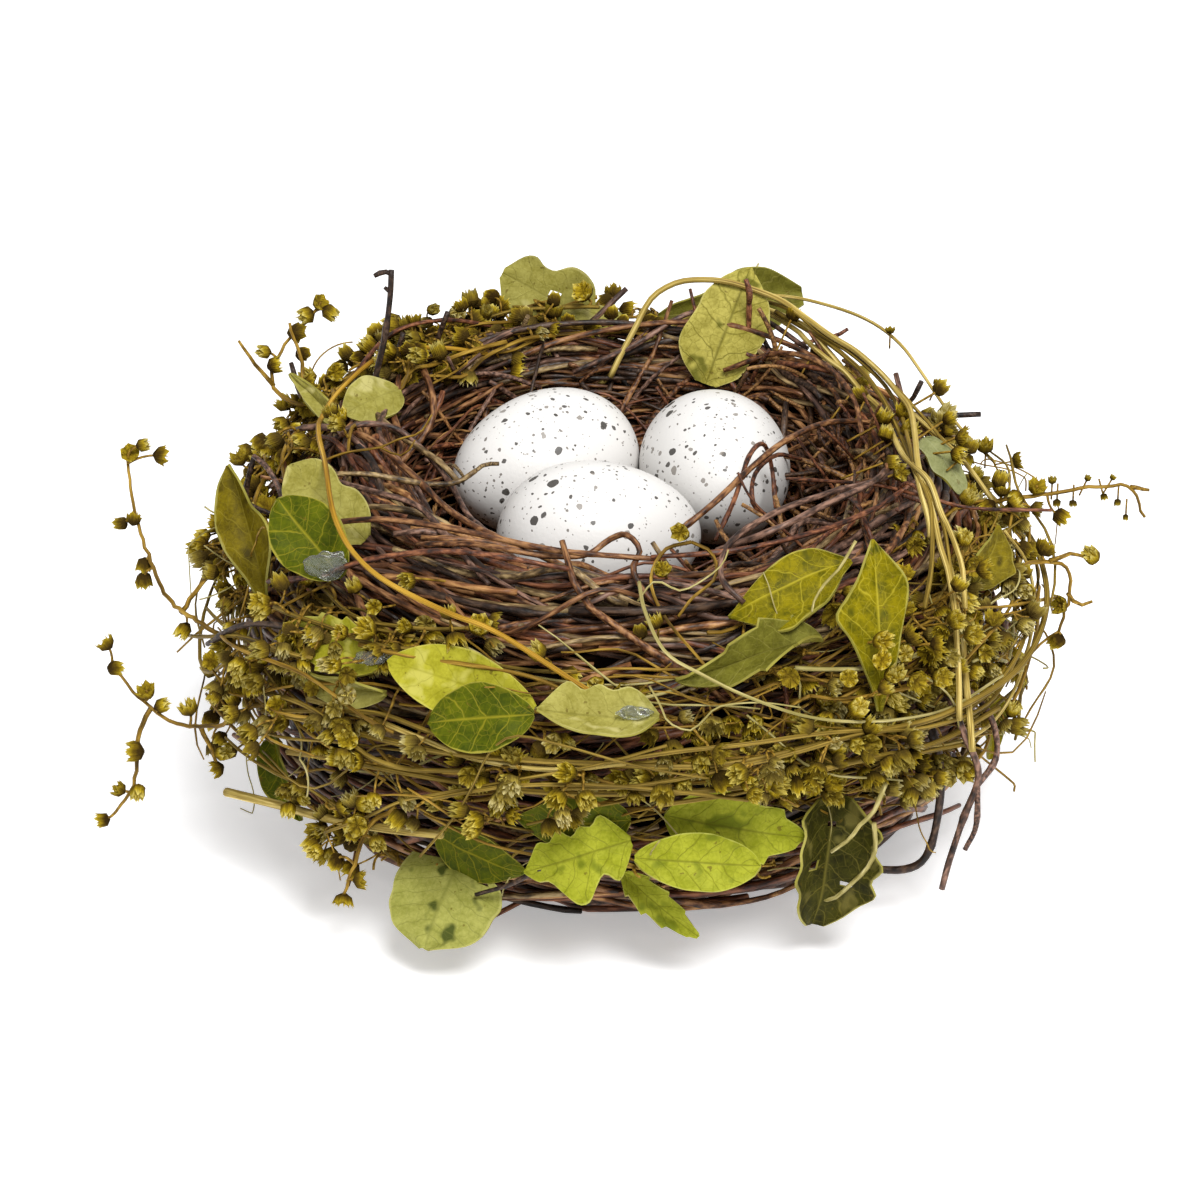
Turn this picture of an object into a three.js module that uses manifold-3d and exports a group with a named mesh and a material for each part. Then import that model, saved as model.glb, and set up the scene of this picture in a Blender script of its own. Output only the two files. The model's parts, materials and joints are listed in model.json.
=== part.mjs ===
// A decorative bird's nest of coiled vine twigs, lined with rootlets and holding three speckled eggs.
// Dried flower garlands, straw stems, bare twigs and preserved leaves are wound round and tucked into
// its wall.
// Millimetres, +Z up. The origin is the centre of the flat base; -Y is the nest's front and +X its right.
import * as THREE from 'three';
import { mergeVertices } from 'three/addons/utils/BufferGeometryUtils.js';
import Module from 'manifold-3d';

const wasm = await Module();
wasm.setup();

// ---- Driving dimensions ----
const clearance = 0.35; // left free between pieces that touch
const nest = { height: 57, baseRadius: 38, crestRadius: 45, floorHeight: 34.6, bellyReach: 64 };
const coil = { depth: 0.5, around: 32, outsideRows: 11, insideRows: 8 };
const lining = { thickness: 3, edgeThickness: 0.5, around: 20, rows: 4, reach: 0.58 };
const egg = { length: 32, radius: 12, taper: 0.12, around: 16, rows: 10 };
const leaf = { thickness: 0.7, columns: 2, rows: 4, stalkWidth: 1.2, fullness: 0.75, widestPower: 0.8 };
const flower = { radius: 2, stalkRadius: 0.5 };
const garland = { columns: 6, rows: 3, bump: 0.8, edge: 0.45 };

// ---- Colours ----
const finish = (color, roughness) => new THREE.MeshStandardMaterial({ color, roughness, metalness: 0 });
const material = {
  twig: finish(0x643f27, 0.85),
  darkTwig: finish(0x3a2a24, 0.85),
  rootlet: finish(0x6d4326, 0.9),
  eggshell: finish(0xf1efec, 0.5),
  straw: finish(0x9c8545, 0.7),
  darkLeaf: finish(0x6b6d0a, 0.6),
  paleLeaf: finish(0xb5ac66, 0.7),
  limeLeaf: finish(0xb8b33d, 0.65),
  oliveLeaf: finish(0x8f8207, 0.65),
  flower: finish(0xad9822, 0.9),
};

// ---- Solids ----
const vector = (p) => new THREE.Vector3(...p);

function solidOf(geometry) {
  const bare = geometry.clone();
  bare.deleteAttribute('normal');
  bare.deleteAttribute('uv');
  const merged = mergeVertices(bare, 1e-3);
  return new wasm.Manifold(new wasm.Mesh({
    numProp: 3,
    vertProperties: merged.attributes.position.array,
    triVerts: new Uint32Array(merged.index.array),
  }));
}

function geometryOf(solid) {
  const { vertProperties, triVerts } = solid.getMesh();
  const indexed = new THREE.BufferGeometry();
  indexed.setAttribute('position', new THREE.BufferAttribute(new Float32Array(vertProperties), 3));
  indexed.setIndex(new THREE.BufferAttribute(new Uint32Array(triVerts), 1));
  const faceted = indexed.toNonIndexed();
  faceted.computeVertexNormals();
  return faceted;
}

function moveVertices(geometry, move) {
  const { position } = geometry.attributes;
  for (let i = 0; i < position.count; i += 1) {
    const moved = move(position.getX(i), position.getY(i), position.getZ(i));
    position.setXYZ(i, ...moved);
  }
  return geometry;
}

const largestBody = (solid) => solid.decompose().reduce((a, b) => (b.volume() > a.volume() ? b : a));

// ---- The wall's surface ----
// share 0 is the base's edge, 1 the crest and 2 the middle of the cup's floor.
const outside = new THREE.CubicBezierCurve(
  new THREE.Vector2(nest.baseRadius, 0),
  new THREE.Vector2(nest.bellyReach, 4),
  new THREE.Vector2(nest.bellyReach, 50),
  new THREE.Vector2(nest.crestRadius, nest.height),
);
const inside = new THREE.CubicBezierCurve(
  new THREE.Vector2(nest.crestRadius, nest.height),
  new THREE.Vector2(35, 59),
  new THREE.Vector2(38, 27),
  new THREE.Vector2(0, nest.floorHeight),
);

// The wall's section at a share, lifted along its outward normal.
function section(share, lift = 0) {
  const curve = share <= 1 ? outside : inside;
  const at = share <= 1 ? share : share - 1;
  const point = curve.getPoint(at);
  const along = curve.getTangent(at);
  return new THREE.Vector2(point.x + along.y * lift, point.y - along.x * lift);
}

function onWall(degrees, share, lift = 0) {
  const { x: radius, y: height } = section(share, lift);
  const angle = THREE.MathUtils.degToRad(degrees);
  return [radius * Math.cos(angle), radius * Math.sin(angle), height];
}

// ---- Nest cup ----
// The wall and floor in one, its surface ribbed by the coils of twig.
function cupSolid(grow) {
  const profile = [new THREE.Vector2(0, -grow), new THREE.Vector2(nest.baseRadius, -grow)];
  for (let row = 1; row < coil.outsideRows; row += 1) profile.push(section(row / coil.outsideRows, grow));
  for (let row = 0; row < coil.insideRows; row += 1) profile.push(section(1 + row / coil.insideRows, grow));
  profile.push(new THREE.Vector2(0, nest.floorHeight + grow));
  const lathe = new THREE.LatheGeometry(profile, coil.around);
  const { position } = lathe.attributes;
  for (let i = 0; i < position.count; i += 1) {
    const row = i % profile.length;
    const column = Math.floor(i / profile.length) % coil.around;
    if (row < 2 || row === profile.length - 1) continue;
    const angle = (column / coil.around) * 2 * Math.PI;
    const ridge = coil.depth * Math.cos(Math.PI * row) * (0.6 + 0.4 * Math.cos(3 * angle + row));
    const scale = 1 + ridge / Math.hypot(position.getX(i), position.getZ(i));
    position.setX(i, position.getX(i) * scale);
    position.setZ(i, position.getZ(i) * scale);
  }
  return solidOf(lathe.rotateX(Math.PI / 2));
}

// ---- Lining ----
function liningSolid(grow) {
  const profile = [];
  for (let row = 0; row <= lining.rows; row += 1) {
    profile.push(section(2 - lining.reach * (row / lining.rows), coil.depth + clearance - grow));
  }
  for (let row = lining.rows; row >= 0; row -= 1) {
    const thickness = THREE.MathUtils.lerp(lining.thickness, lining.edgeThickness, row / lining.rows);
    profile.push(section(2 - lining.reach * (row / lining.rows), coil.depth + clearance + thickness + grow));
  }
  profile[0].x = 0;
  profile[profile.length - 1].x = 0;
  return solidOf(new THREE.LatheGeometry(profile, lining.around).rotateX(Math.PI / 2));
}

// ---- Eggs ----
// Blunt end at -Y and pointed end at +Y of its own frame.
function eggGeometry(grow = 0) {
  const profile = [];
  for (let row = 0; row <= egg.rows; row += 1) {
    const turn = Math.PI * (row / egg.rows);
    const along = -Math.cos(turn);
    const radius = (egg.radius + grow) * Math.sin(turn) * (1 - egg.taper * along);
    profile.push(new THREE.Vector2(radius, along * (egg.length / 2 + grow)));
  }
  profile[0].x = 0;
  profile[egg.rows].x = 0;
  return new THREE.LatheGeometry(profile, egg.around);
}

const eggs = [
  { name: 'egg_front', centre: [-3.7, -12.6, 49.6], pointsTo: [1, 0.05, 0.02] },
  { name: 'egg_back_left', centre: [-12.4, 13.6, 50.7], pointsTo: [-0.86, -0.5, -0.02] },
  { name: 'egg_back_right', centre: [15.3, 10, 51.4], pointsTo: [0.16, -1, 0.06] },
];

function eggPlace({ centre, pointsTo }) {
  const turn = new THREE.Quaternion().setFromUnitVectors(
    new THREE.Vector3(0, 1, 0),
    vector(pointsTo).normalize(),
  );
  return new THREE.Matrix4().compose(vector(centre), turn, new THREE.Vector3(1, 1, 1));
}

// ---- Twigs, vines and straws: round stems along a curve ----
function polygon(radius, sides) {
  const shape = new THREE.Shape();
  for (let side = 0; side < sides; side += 1) {
    const angle = (side / sides) * 2 * Math.PI;
    const corner = [radius * Math.cos(angle), radius * Math.sin(angle)];
    if (side) shape.lineTo(...corner);
    else shape.moveTo(...corner);
  }
  shape.closePath();
  return shape;
}

function stemSolid({ points, radius, sides = 5, step = 12 }, grow) {
  const path = new THREE.CatmullRomCurve3(points.map(vector), false, 'centripetal');
  const steps = Math.max(2, Math.round(path.getLength() / step));
  const tube = new THREE.ExtrudeGeometry(polygon(radius + grow, sides), {
    steps,
    extrudePath: path,
    bevelEnabled: false,
  });
  return solidOf(tube);
}

// A twig may fork: each branch is fused to the main stem.
function forkedSolid({ branches = [], ...main }, grow) {
  let solid = stemSolid(main, grow);
  for (const branch of branches) {
    solid = solid.add(stemSolid({ ...main, ...branch, radius: main.radius * 0.85 }, grow));
  }
  return solid;
}

// A vine wound on the wall from one angle to another at a share of the section.
function coilPoints({ from, to, share, wave, radius }) {
  const count = Math.max(4, Math.round(Math.abs(to - from) / 24));
  const points = [];
  for (let i = 0; i <= count; i += 1) {
    const degrees = THREE.MathUtils.lerp(from, to, i / count);
    const wander = wave * Math.sin(THREE.MathUtils.degToRad(degrees) * 3);
    points.push(onWall(degrees, share + wander, coil.depth + clearance + radius + 0.35));
  }
  return points;
}

const vines = [
  { name: 'vine_inner_rim', from: -160, to: 170, share: 1.2, wave: 0.02, radius: 0.9 },
  { name: 'vine_crest', from: -215, to: 68, share: 1.0, wave: 0.02, radius: 1.0 },
  { name: 'vine_outer_rim', from: -165, to: 64, share: 0.9, wave: 0.01, radius: 0.9 },
  { name: 'vine_low_wall', from: -170, to: 150, share: 0.22, wave: 0.015, radius: 0.9 },
];

const straws = [
  {
    name: 'straw_left_arch', radius: 0.55,
    points: [
      [-22, 34, 64], [-36, 28, 65], [-45, 19, 64], [-49, 8, 63], [-49, -5, 61],
      [-47, -19, 59.5], [-42, -33, 57], [-34, -44, 55.5], [-23, -53, 53.5], [-12, -59, 51], [-4, -62, 48],
    ],
  },
  {
    name: 'straw_right_outer', radius: 0.65,
    points: [
      [0.5, 38, 61.5], [4.5, 40, 68.8], [11.6, 41.5, 72.1], [21.8, 41, 71.3], [29, 37, 67.8],
      [37.5, 27, 65.1], [47, 14, 62.6], [54, 0, 59], [58, -18, 53], [59, -32, 46], [56, -44, 35],
    ],
  },
  {
    name: 'straw_right_middle', radius: 0.7,
    points: [
      [4.5, 44, 60.3], [11.9, 48, 63.8], [20, 48.2, 66], [28.3, 42, 65.4], [34.6, 34, 63.6],
      [43, 16, 61.6], [49, -3, 60], [52, -18, 56.5], [54, -30, 51], [54, -40, 42], [52, -49, 32],
    ],
  },
  {
    name: 'straw_right_inner', radius: 0.6,
    points: [
      [25, 38.5, 62.2], [31.5, 31, 62.8], [37, 22, 62.4], [40.5, 12, 62],
      [43.5, 0, 61.8], [46.3, -14, 61.5], [48.5, -26, 58.8],
    ],
  },
  {
    name: 'straw_far_arch', radius: 0.5,
    points: [
      [22, 50, 66], [29.5, 48.5, 66.5], [41.3, 38, 66.1], [49, 27, 62], [55.2, 19, 55], [60.6, 13, 51.4],
    ],
  },
  {
    name: 'straw_band_upper', radius: 0.7,
    points: [
      [-53, -40, 33], [-36, -56.5, 36.5], [-19, -65.5, 38], [-1, -69, 38],
      [17, -67.5, 38], [33, -61, 39], [47, -52, 37.5], [59, -40, 39], [65.5, -25, 42], [66, -8, 44],
    ],
  },
  {
    name: 'straw_band_lower', radius: 0.6,
    points: [
      [-47, -46, 29], [-32, -58, 31.5], [-16, -66, 33], [1, -69, 34],
      [19, -66.5, 34], [34, -60, 34.5], [46, -52, 33], [57, -40, 33.5],
    ],
  },
  {
    name: 'straw_cut_end', radius: 0.8,
    points: [[-61, -34, 16], [-53, -40, 17], [-45, -47, 18.5], [-36, -54, 20]],
  },
];

const twigs = [
  {
    name: 'twig_upright', radius: 0.55, step: 6,
    points: [[-41, 16, 60], [-40, 17, 63.5], [-38.2, 18.5, 71], [-37.3, 20, 77], [-37, 21, 82]],
    branches: [{ points: [[-37, 21, 80.6], [-39.4, 21, 81]] }],
  },
  {
    name: 'twig_knotted', radius: 0.6, step: 5.5,
    points: [[48, -46.5, 40], [51, -47.5, 33], [53.5, -47.5, 26], [51.5, -48, 19], [49.5, -48.5, 7]],
    branches: [
      { points: [[53.2, -47.5, 24.5], [53, -48.5, 18], [51.8, -49, 14.5]] },
      { points: [[53.2, -47.5, 24.5], [56.5, -44, 27.5], [54, -41.5, 32]] },
    ],
  },
  {
    name: 'twig_drooping', radius: 0.65, step: 6,
    points: [[47.5, -46, 29], [48, -46.5, 22], [46.5, -47.5, 13], [43, -47.5, 9.5], [36.5, -46, 9.5]],
  },
  {
    name: 'twig_over_egg', radius: 0.55, step: 5,
    points: [[-45.5, -13, 59.8], [-39, -13, 60.8], [-31, -13, 59.5], [-26, -12, 59.5], [-22.5, -10, 60]],
    branches: [{ points: [[-24.5, -11, 59.7], [-23.6, -9, 61]] }],
  },
  {
    name: 'twig_red_right', radius: 0.5, step: 6,
    points: [[33, -9, 54], [39, -15, 57.8], [45.5, -22, 60.2], [53, -25, 59.3], [65, -28, 58]],
  },
  {
    name: 'twig_back_curl', radius: 0.55, step: 5,
    points: [
      [21, 37, 73.3], [21.2, 37, 69.5], [21.5, 37, 63.5], [24, 36, 61.8], [24.6, 35, 58], [21, 33, 57],
    ],
  },
];

// ---- Leaves ----
// base and tip are the ends of the midrib, facing the way the face looks; arch bows the midrib out towards
// the face, and fold lifts the two edges. Negative values bow and fold the other way.
const leaves = [
  {
    name: 'leaf_left_pale', tone: 'paleLeaf', width: 12, arch: 1, fold: 0.1,
    base: [-39, -29, 56.5], tip: [-51, -21, 64.5], facing: [-0.2, -0.8, 0.6],
  },
  {
    name: 'leaf_left_dark', tone: 'darkLeaf', width: 11, arch: 1, fold: 0.1,
    base: [-42, -38, 54.5], tip: [-51.5, -32.5, 64.5], facing: [-0.3, -0.8, 0.55],
  },
  {
    name: 'leaf_far_left', tone: 'oliveLeaf', width: 12.5, arch: -1.2, fold: 0.3,
    base: [-55, -24, 43.5], tip: [-60, -13, 61], facing: [-0.35, -0.85, 0.2],
  },
  {
    name: 'leaf_rim_left', tone: 'paleLeaf', width: 8, arch: 1, fold: 0.1,
    base: [-36, 19, 60.2], tip: [-43, 9, 59.8], facing: [0.2, -0.5, 0.85],
  },
  {
    name: 'leaf_rim_narrow', tone: 'paleLeaf', width: 5, arch: -0.8, fold: 0.7,
    base: [-45, 10, 58.5], tip: [-52.5, 20, 61.5], facing: [-0.4, -0.7, 0.6],
  },
  {
    name: 'leaf_back_lobed', tone: 'paleLeaf', width: 11, arch: 1, fold: 0.1,
    base: [-5, 51, 61.5], tip: [-20, 53, 69], facing: [0, -0.95, 0.3],
  },
  {
    name: 'leaf_back_low', tone: 'paleLeaf', width: 7, arch: 1, fold: 0.2,
    base: [1, 48, 62.5], tip: [-18, 49.5, 58], facing: [0, -0.8, 0.6],
  },
  {
    name: 'leaf_back_tall', tone: 'paleLeaf', width: 13, arch: 1.5, fold: 0.1,
    base: [16.5, 34.5, 51.5], tip: [19.8, 44.5, 72], facing: [-0.1, -0.9, 0.4],
  },
  {
    name: 'leaf_back_toothed', tone: 'oliveLeaf', width: 10, arch: 1, fold: 0.1,
    base: [5.5, 53, 63], tip: [31, 54, 64.5], facing: [0, -0.95, 0.3],
  },
  {
    name: 'leaf_right_oval', tone: 'paleLeaf', width: 7.5, arch: 1, fold: -0.1,
    base: [49.5, 9, 58.5], tip: [56, 0, 52], facing: [0.6, -0.3, 0.75],
  },
  {
    name: 'leaf_right_dark', tone: 'oliveLeaf', width: 9, arch: 1, fold: 0.3,
    base: [56, -17, 43], tip: [60, -11, 51.5], facing: [0.75, -0.6, 0.2],
  },
  {
    name: 'leaf_front_right_tall', tone: 'oliveLeaf', width: 12, arch: 1.2, fold: 0.25,
    base: [37, -58, 43], tip: [37.5, -47.5, 64.5], facing: [0.2, -0.85, 0.4],
  },
  {
    name: 'leaf_front_right_wide', tone: 'oliveLeaf', width: 12, arch: 1.5, fold: 0.2,
    base: [33.5, -45, 60.2], tip: [15.4, -50.7, 53.8], facing: [0, -0.65, 0.75],
  },
  {
    name: 'leaf_front_right_curled', tone: 'paleLeaf', width: 6, arch: 1, fold: 0.7,
    base: [28, -55, 51], tip: [8, -61.5, 49], facing: [0.1, -0.6, 0.8],
  },
  {
    name: 'leaf_front_left_lime', tone: 'limeLeaf', width: 11, arch: 1.5, fold: 0.15,
    base: [-13.5, -63.5, 45.5], tip: [-34, -54.5, 47.5], facing: [-0.3, -0.75, 0.6],
  },
  {
    name: 'leaf_front_left_dark', tone: 'darkLeaf', width: 10.5, arch: 1.5, fold: 0.1,
    base: [-13, -67, 46], tip: [-28, -63, 43], facing: [-0.25, -0.85, 0.5],
  },
  {
    name: 'leaf_front_boat', tone: 'paleLeaf', width: 8, arch: -1, fold: 0.7,
    base: [5, -67, 45.5], tip: [-12, -67.5, 47.5], facing: [0, -0.5, 0.85],
  },
  {
    name: 'leaf_left_edge', tone: 'paleLeaf', width: 9, arch: 1, fold: 0.2,
    base: [-36, -52, 46.5], tip: [-50, -38.5, 46], facing: [-0.5, -0.6, 0.6],
  },
  {
    name: 'leaf_low_dark', tone: 'darkLeaf', width: 9.5, arch: 1.5, fold: 0.1,
    base: [1, -63.5, 27], tip: [-15.5, -61.5, 26], facing: [-0.1, -1, 0.1],
  },
  {
    name: 'leaf_low_torn', tone: 'limeLeaf', width: 10.5, arch: 1, fold: 0.1,
    base: [0, -65.5, 24], tip: [-12.5, -66, 16.5], facing: [-0.1, -0.9, 0.4],
  },
  {
    name: 'leaf_low_toothed', tone: 'limeLeaf', width: 10, arch: 1.5, fold: 0.1,
    base: [7, -62, 25], tip: [25.5, -60.5, 21.5], facing: [0.2, -0.95, 0.2],
  },
  {
    name: 'leaf_low_oval', tone: 'limeLeaf', width: 9.5, arch: 1.5, fold: 0.1,
    base: [2, -67, 21], tip: [19.5, -67, 19.5], facing: [0.1, -0.85, 0.5],
  },
  {
    name: 'leaf_low_spotted', tone: 'paleLeaf', width: 17, arch: 1.5, fold: -0.15,
    base: [-24, -56, 14], tip: [-28, -65.5, 5.5], facing: [-0.25, -0.6, 0.75],
  },
  {
    name: 'leaf_low_right', tone: 'darkLeaf', width: 13, arch: 1, fold: 0.25,
    base: [31, -54, 26.4], tip: [28.4, -57.4, 6], facing: [0.3, -0.9, 0.2],
  },
];

// The way across a leaf, from its midrib to its right edge, and the way out of its face.
function leafFrame({ base, tip, facing }) {
  const along = vector(tip).sub(vector(base)).normalize();
  const across = new THREE.Vector3().crossVectors(along, vector(facing)).normalize();
  const out = new THREE.Vector3().crossVectors(across, along);
  return { along, across, out };
}

function leafSolid(spec, grow) {
  const { along, across, out } = leafFrame(spec);
  const length = vector(spec.base).distanceTo(vector(spec.tip));
  const origin = vector(spec.base);
  const blank = new THREE.BoxGeometry(2, 1, 1, leaf.columns, leaf.rows, 1);
  moveVertices(blank, (x, y, z) => {
    const reach = y + 0.5;
    const bulge = Math.sin(Math.PI * reach ** leaf.widestPower) ** leaf.fullness;
    const half = ((spec.width - leaf.stalkWidth) * bulge + leaf.stalkWidth) / 2;
    const rise = spec.arch * 4 * reach * (1 - reach) + spec.fold * half * Math.abs(x);
    const through = z * (leaf.thickness + 2 * grow);
    return origin.clone()
      .addScaledVector(along, reach * length + (2 * reach - 1) * grow)
      .addScaledVector(across, x * (half + grow))
      .addScaledVector(out, rise + through)
      .toArray();
  });
  return solidOf(blank);
}

// ---- Sprays: a thin stem whose flower heads stand on short stalks ----
const sprays = [
  {
    name: 'spray_left_low',
    stem: [[-56, -40, 34], [-62, -36, 28.5], [-69, -31, 26], [-75, -28, 29], [-80, -26, 36]],
    side: [[-74, -28.5, 28.5], [-75.5, -30, 22], [-77, -31, 15], [-81, -31, 9]],
    heads: [[-81, -25, 38], [-75, -29, 29.5], [-79, -33, 14.5], [-82, -31, 8]],
  },
  {
    name: 'spray_left_high',
    stem: [[-65, -24, 40], [-71, -15, 40], [-74, -10, 43], [-77, -5, 50], [-78, -2, 58]],
    heads: [[-78, -1, 60], [-71.5, -1, 60], [-80, -5, 48], [-78, -10, 41]],
  },
  {
    name: 'spray_back_left',
    stem: [[-54.5, 19, 60], [-57, 22, 62], [-56, 25, 65.5], [-50.5, 27, 71]],
    heads: [[-49, 27.5, 72.5], [-59, 25, 66], [-60, 20, 60.5]],
  },
  {
    name: 'spray_right_high',
    stem: [
      [54, -9, 53.6], [59, -10, 54.8], [66, -10, 55.7], [71.4, -10, 56.8], [79.2, -10, 57], [81.8, -10, 52],
    ],
    heads: [[64.7, -10, 57.2], [68.7, -10, 52], [59.2, -10, 56.8]],
  },
  {
    name: 'spray_right_low',
    stem: [[60, -20, 47], [66, -18, 48], [69.3, -17.5, 46], [69.5, -17, 41], [68.4, -17, 35]],
    heads: [[65.5, -17.5, 50], [72.8, -17, 48.5], [68.2, -17, 33.8]],
  },
  {
    name: 'spray_low_left',
    stem: [[-38, -54, 21], [-40, -57, 16], [-42, -58, 10]],
    heads: [[-42, -58, 9], [-43, -55, 16]],
  },
];

function nearestOn(path, target) {
  const samples = path.getSpacedPoints(40);
  return samples.reduce((a, b) => (b.distanceTo(target) < a.distanceTo(target) ? b : a));
}

function headSolid(at, grow) {
  return solidOf(new THREE.OctahedronGeometry(flower.radius + grow, 0).translate(...at));
}

function spraySolid({ stem, side, heads }, grow) {
  const radius = flower.stalkRadius;
  let solid = stemSolid({ points: stem, radius, sides: 4 }, grow);
  if (side) solid = solid.add(stemSolid({ points: side, radius, sides: 4 }, grow));
  const paths = [stem, side].filter(Boolean)
    .map((points) => new THREE.CatmullRomCurve3(points.map(vector), false, 'centripetal'));
  for (const head of heads) {
    const feet = paths.map((path) => nearestOn(path, vector(head)));
    const foot = feet.reduce((a, b) => (b.distanceTo(vector(head)) < a.distanceTo(vector(head)) ? b : a));
    const stalk = { points: [foot.toArray(), head], radius: radius * 0.9, sides: 4, step: 20 };
    if (foot.distanceTo(vector(head)) > flower.radius * 0.6) solid = solid.add(stemSolid(stalk, grow));
    solid = solid.add(headSolid(head, grow));
  }
  return solid;
}

// ---- Garlands: the lumpy mass of flower heads that lies on the wall ----
const garlands = [
  { name: 'garland_front_left', from: -160, to: -122, low: 0.34, high: 0.82, depth: 6 },
  { name: 'garland_front', from: -120, to: -72, low: 0.36, high: 0.74, depth: 6 },
  { name: 'garland_front_right', from: -70, to: -28, low: 0.36, high: 0.84, depth: 6 },
  { name: 'garland_right', from: -26, to: 22, low: 0.42, high: 0.88, depth: 4.6 },
  { name: 'garland_back_right', from: 26, to: 76, low: 0.4, high: 0.82, depth: 7 },
  { name: 'garland_back_left', from: 80, to: 138, low: 0.52, high: 1.06, depth: 8.5 },
  { name: 'garland_left', from: 144, to: 198, low: 0.48, high: 0.96, depth: 6 },
];

function garlandSolid({ from, to, low, high, depth }) {
  const blank = new THREE.BoxGeometry(1, 1, 1, garland.columns, garland.rows, 1);
  moveVertices(blank, (x, y, z) => {
    const column = Math.round((x + 0.5) * garland.columns);
    const row = Math.round((y + 0.5) * garland.rows);
    const onEdge = column % garland.columns === 0 || row % garland.rows === 0;
    const lump = (column + row) % 2 ? garland.bump : 1;
    const height = depth * (onEdge ? garland.edge : lump);
    const lift = coil.depth + clearance + (z > 0 ? height : 0);
    const share = low + (y + 0.5) * (high - low) + 0.015 * Math.sin(column * 1.7);
    return onWall(from + (x + 0.5) * (to - from), share, lift);
  });
  return solidOf(blank);
}

// ---- Assembly ----
// Pieces are placed in turn, and each one gives way to those before it, grown by the clearance.
const group = new THREE.Group();
const taken = [];

function addMesh(name, geometry, tone) {
  const mesh = new THREE.Mesh(geometry, material[tone]);
  mesh.name = name;
  group.add(mesh);
  return mesh;
}

function place(name, make, tone) {
  let solid = make(0);
  for (const neighbour of taken) solid = solid.subtract(neighbour);
  solid = largestBody(solid);
  taken.push(make(clearance));
  return addMesh(name, geometryOf(solid), tone);
}

addMesh('nest_cup', geometryOf(cupSolid(0)), 'twig');
addMesh('nest_lining', geometryOf(liningSolid(0)), 'rootlet');
taken.push(cupSolid(clearance), liningSolid(clearance));

for (const spec of eggs) {
  const mesh = addMesh(spec.name, eggGeometry(), 'eggshell');
  eggPlace(spec).decompose(mesh.position, mesh.quaternion, mesh.scale);
  taken.push(solidOf(eggGeometry(clearance).applyMatrix4(eggPlace(spec))));
}
for (const vine of vines) {
  place(vine.name, (grow) => stemSolid({ ...vine, points: coilPoints(vine), step: 20 }, grow), 'twig');
}
for (const straw of straws) place(straw.name, (grow) => stemSolid(straw, grow), 'straw');
for (const twig of twigs) place(twig.name, (grow) => forkedSolid(twig, grow), 'darkTwig');
for (const spec of leaves) place(spec.name, (grow) => leafSolid(spec, grow), spec.tone);
for (const spray of sprays) place(spray.name, (grow) => spraySolid(spray, grow), 'flower');
for (const spec of garlands) place(spec.name, () => garlandSolid(spec), 'flower');

export default group;
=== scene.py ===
import bpy
import json
import math
import numpy as np
from mathutils import Matrix, Vector, noise

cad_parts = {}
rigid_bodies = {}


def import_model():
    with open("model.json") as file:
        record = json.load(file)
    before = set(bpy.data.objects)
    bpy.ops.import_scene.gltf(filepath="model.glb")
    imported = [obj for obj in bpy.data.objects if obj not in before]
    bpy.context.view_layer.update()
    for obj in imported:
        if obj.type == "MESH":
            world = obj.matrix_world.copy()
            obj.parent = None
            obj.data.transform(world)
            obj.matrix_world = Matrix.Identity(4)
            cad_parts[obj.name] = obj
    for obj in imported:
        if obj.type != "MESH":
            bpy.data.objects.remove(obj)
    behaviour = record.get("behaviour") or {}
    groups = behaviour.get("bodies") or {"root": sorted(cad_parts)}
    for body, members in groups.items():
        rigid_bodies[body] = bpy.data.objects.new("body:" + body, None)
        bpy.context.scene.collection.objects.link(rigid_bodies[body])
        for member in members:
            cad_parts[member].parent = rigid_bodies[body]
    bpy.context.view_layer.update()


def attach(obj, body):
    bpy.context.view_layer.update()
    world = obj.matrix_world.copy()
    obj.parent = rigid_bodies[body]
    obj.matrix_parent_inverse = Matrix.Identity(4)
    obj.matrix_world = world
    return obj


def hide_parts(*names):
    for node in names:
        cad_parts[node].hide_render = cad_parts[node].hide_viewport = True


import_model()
mm = 0.001
# a seed for each group of pieces: another number gives another chance arrangement
seeds = {"walls": 11, "underside": 5, "cup": 23, "twigs": 31, "straws": 37, "band": 41, "garlands": 43,
    "sprays": 47, "loose": 53, "tendrils": 59}
print("nest: frame loaded")

# helpers used by every piece


def hexColor(text):
    # a display colour as linear values
    values = [int(text[i:i + 2], 16) / 255 for i in (1, 3, 5)]
    return [v / 12.92 if v < 0.04045 else ((v + 0.055) / 1.055) ** 2.4 for v in values] + [1]


def nameNew(name):
    # the object that an operator has just added, under its name
    piece = bpy.context.object
    piece.name = name
    return piece


def selectOnly(piece):
    bpy.ops.object.select_all(action="DESELECT")
    piece.select_set(True)
    bpy.context.view_layer.objects.active = piece


def unit(vector):
    return np.array(vector, float) / np.linalg.norm(vector)


def roundTheNest(degrees):
    # the way round the nest at this angle, level
    return np.array([-math.sin(math.radians(degrees)), math.cos(math.radians(degrees)), 0])


def weldMesh(threshold):
    # joins the points that meet in the active piece and turns its faces outward
    bpy.ops.object.mode_set(mode="EDIT")
    bpy.ops.mesh.select_all(action="SELECT")
    bpy.ops.mesh.remove_doubles(threshold=threshold)
    bpy.ops.mesh.normals_make_consistent(inside=False)
    bpy.ops.object.mode_set(mode="OBJECT")


def finishPiece(piece, slotName, *nodes):
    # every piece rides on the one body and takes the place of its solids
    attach(piece, "root")
    if nodes:
        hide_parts(*nodes)


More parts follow.
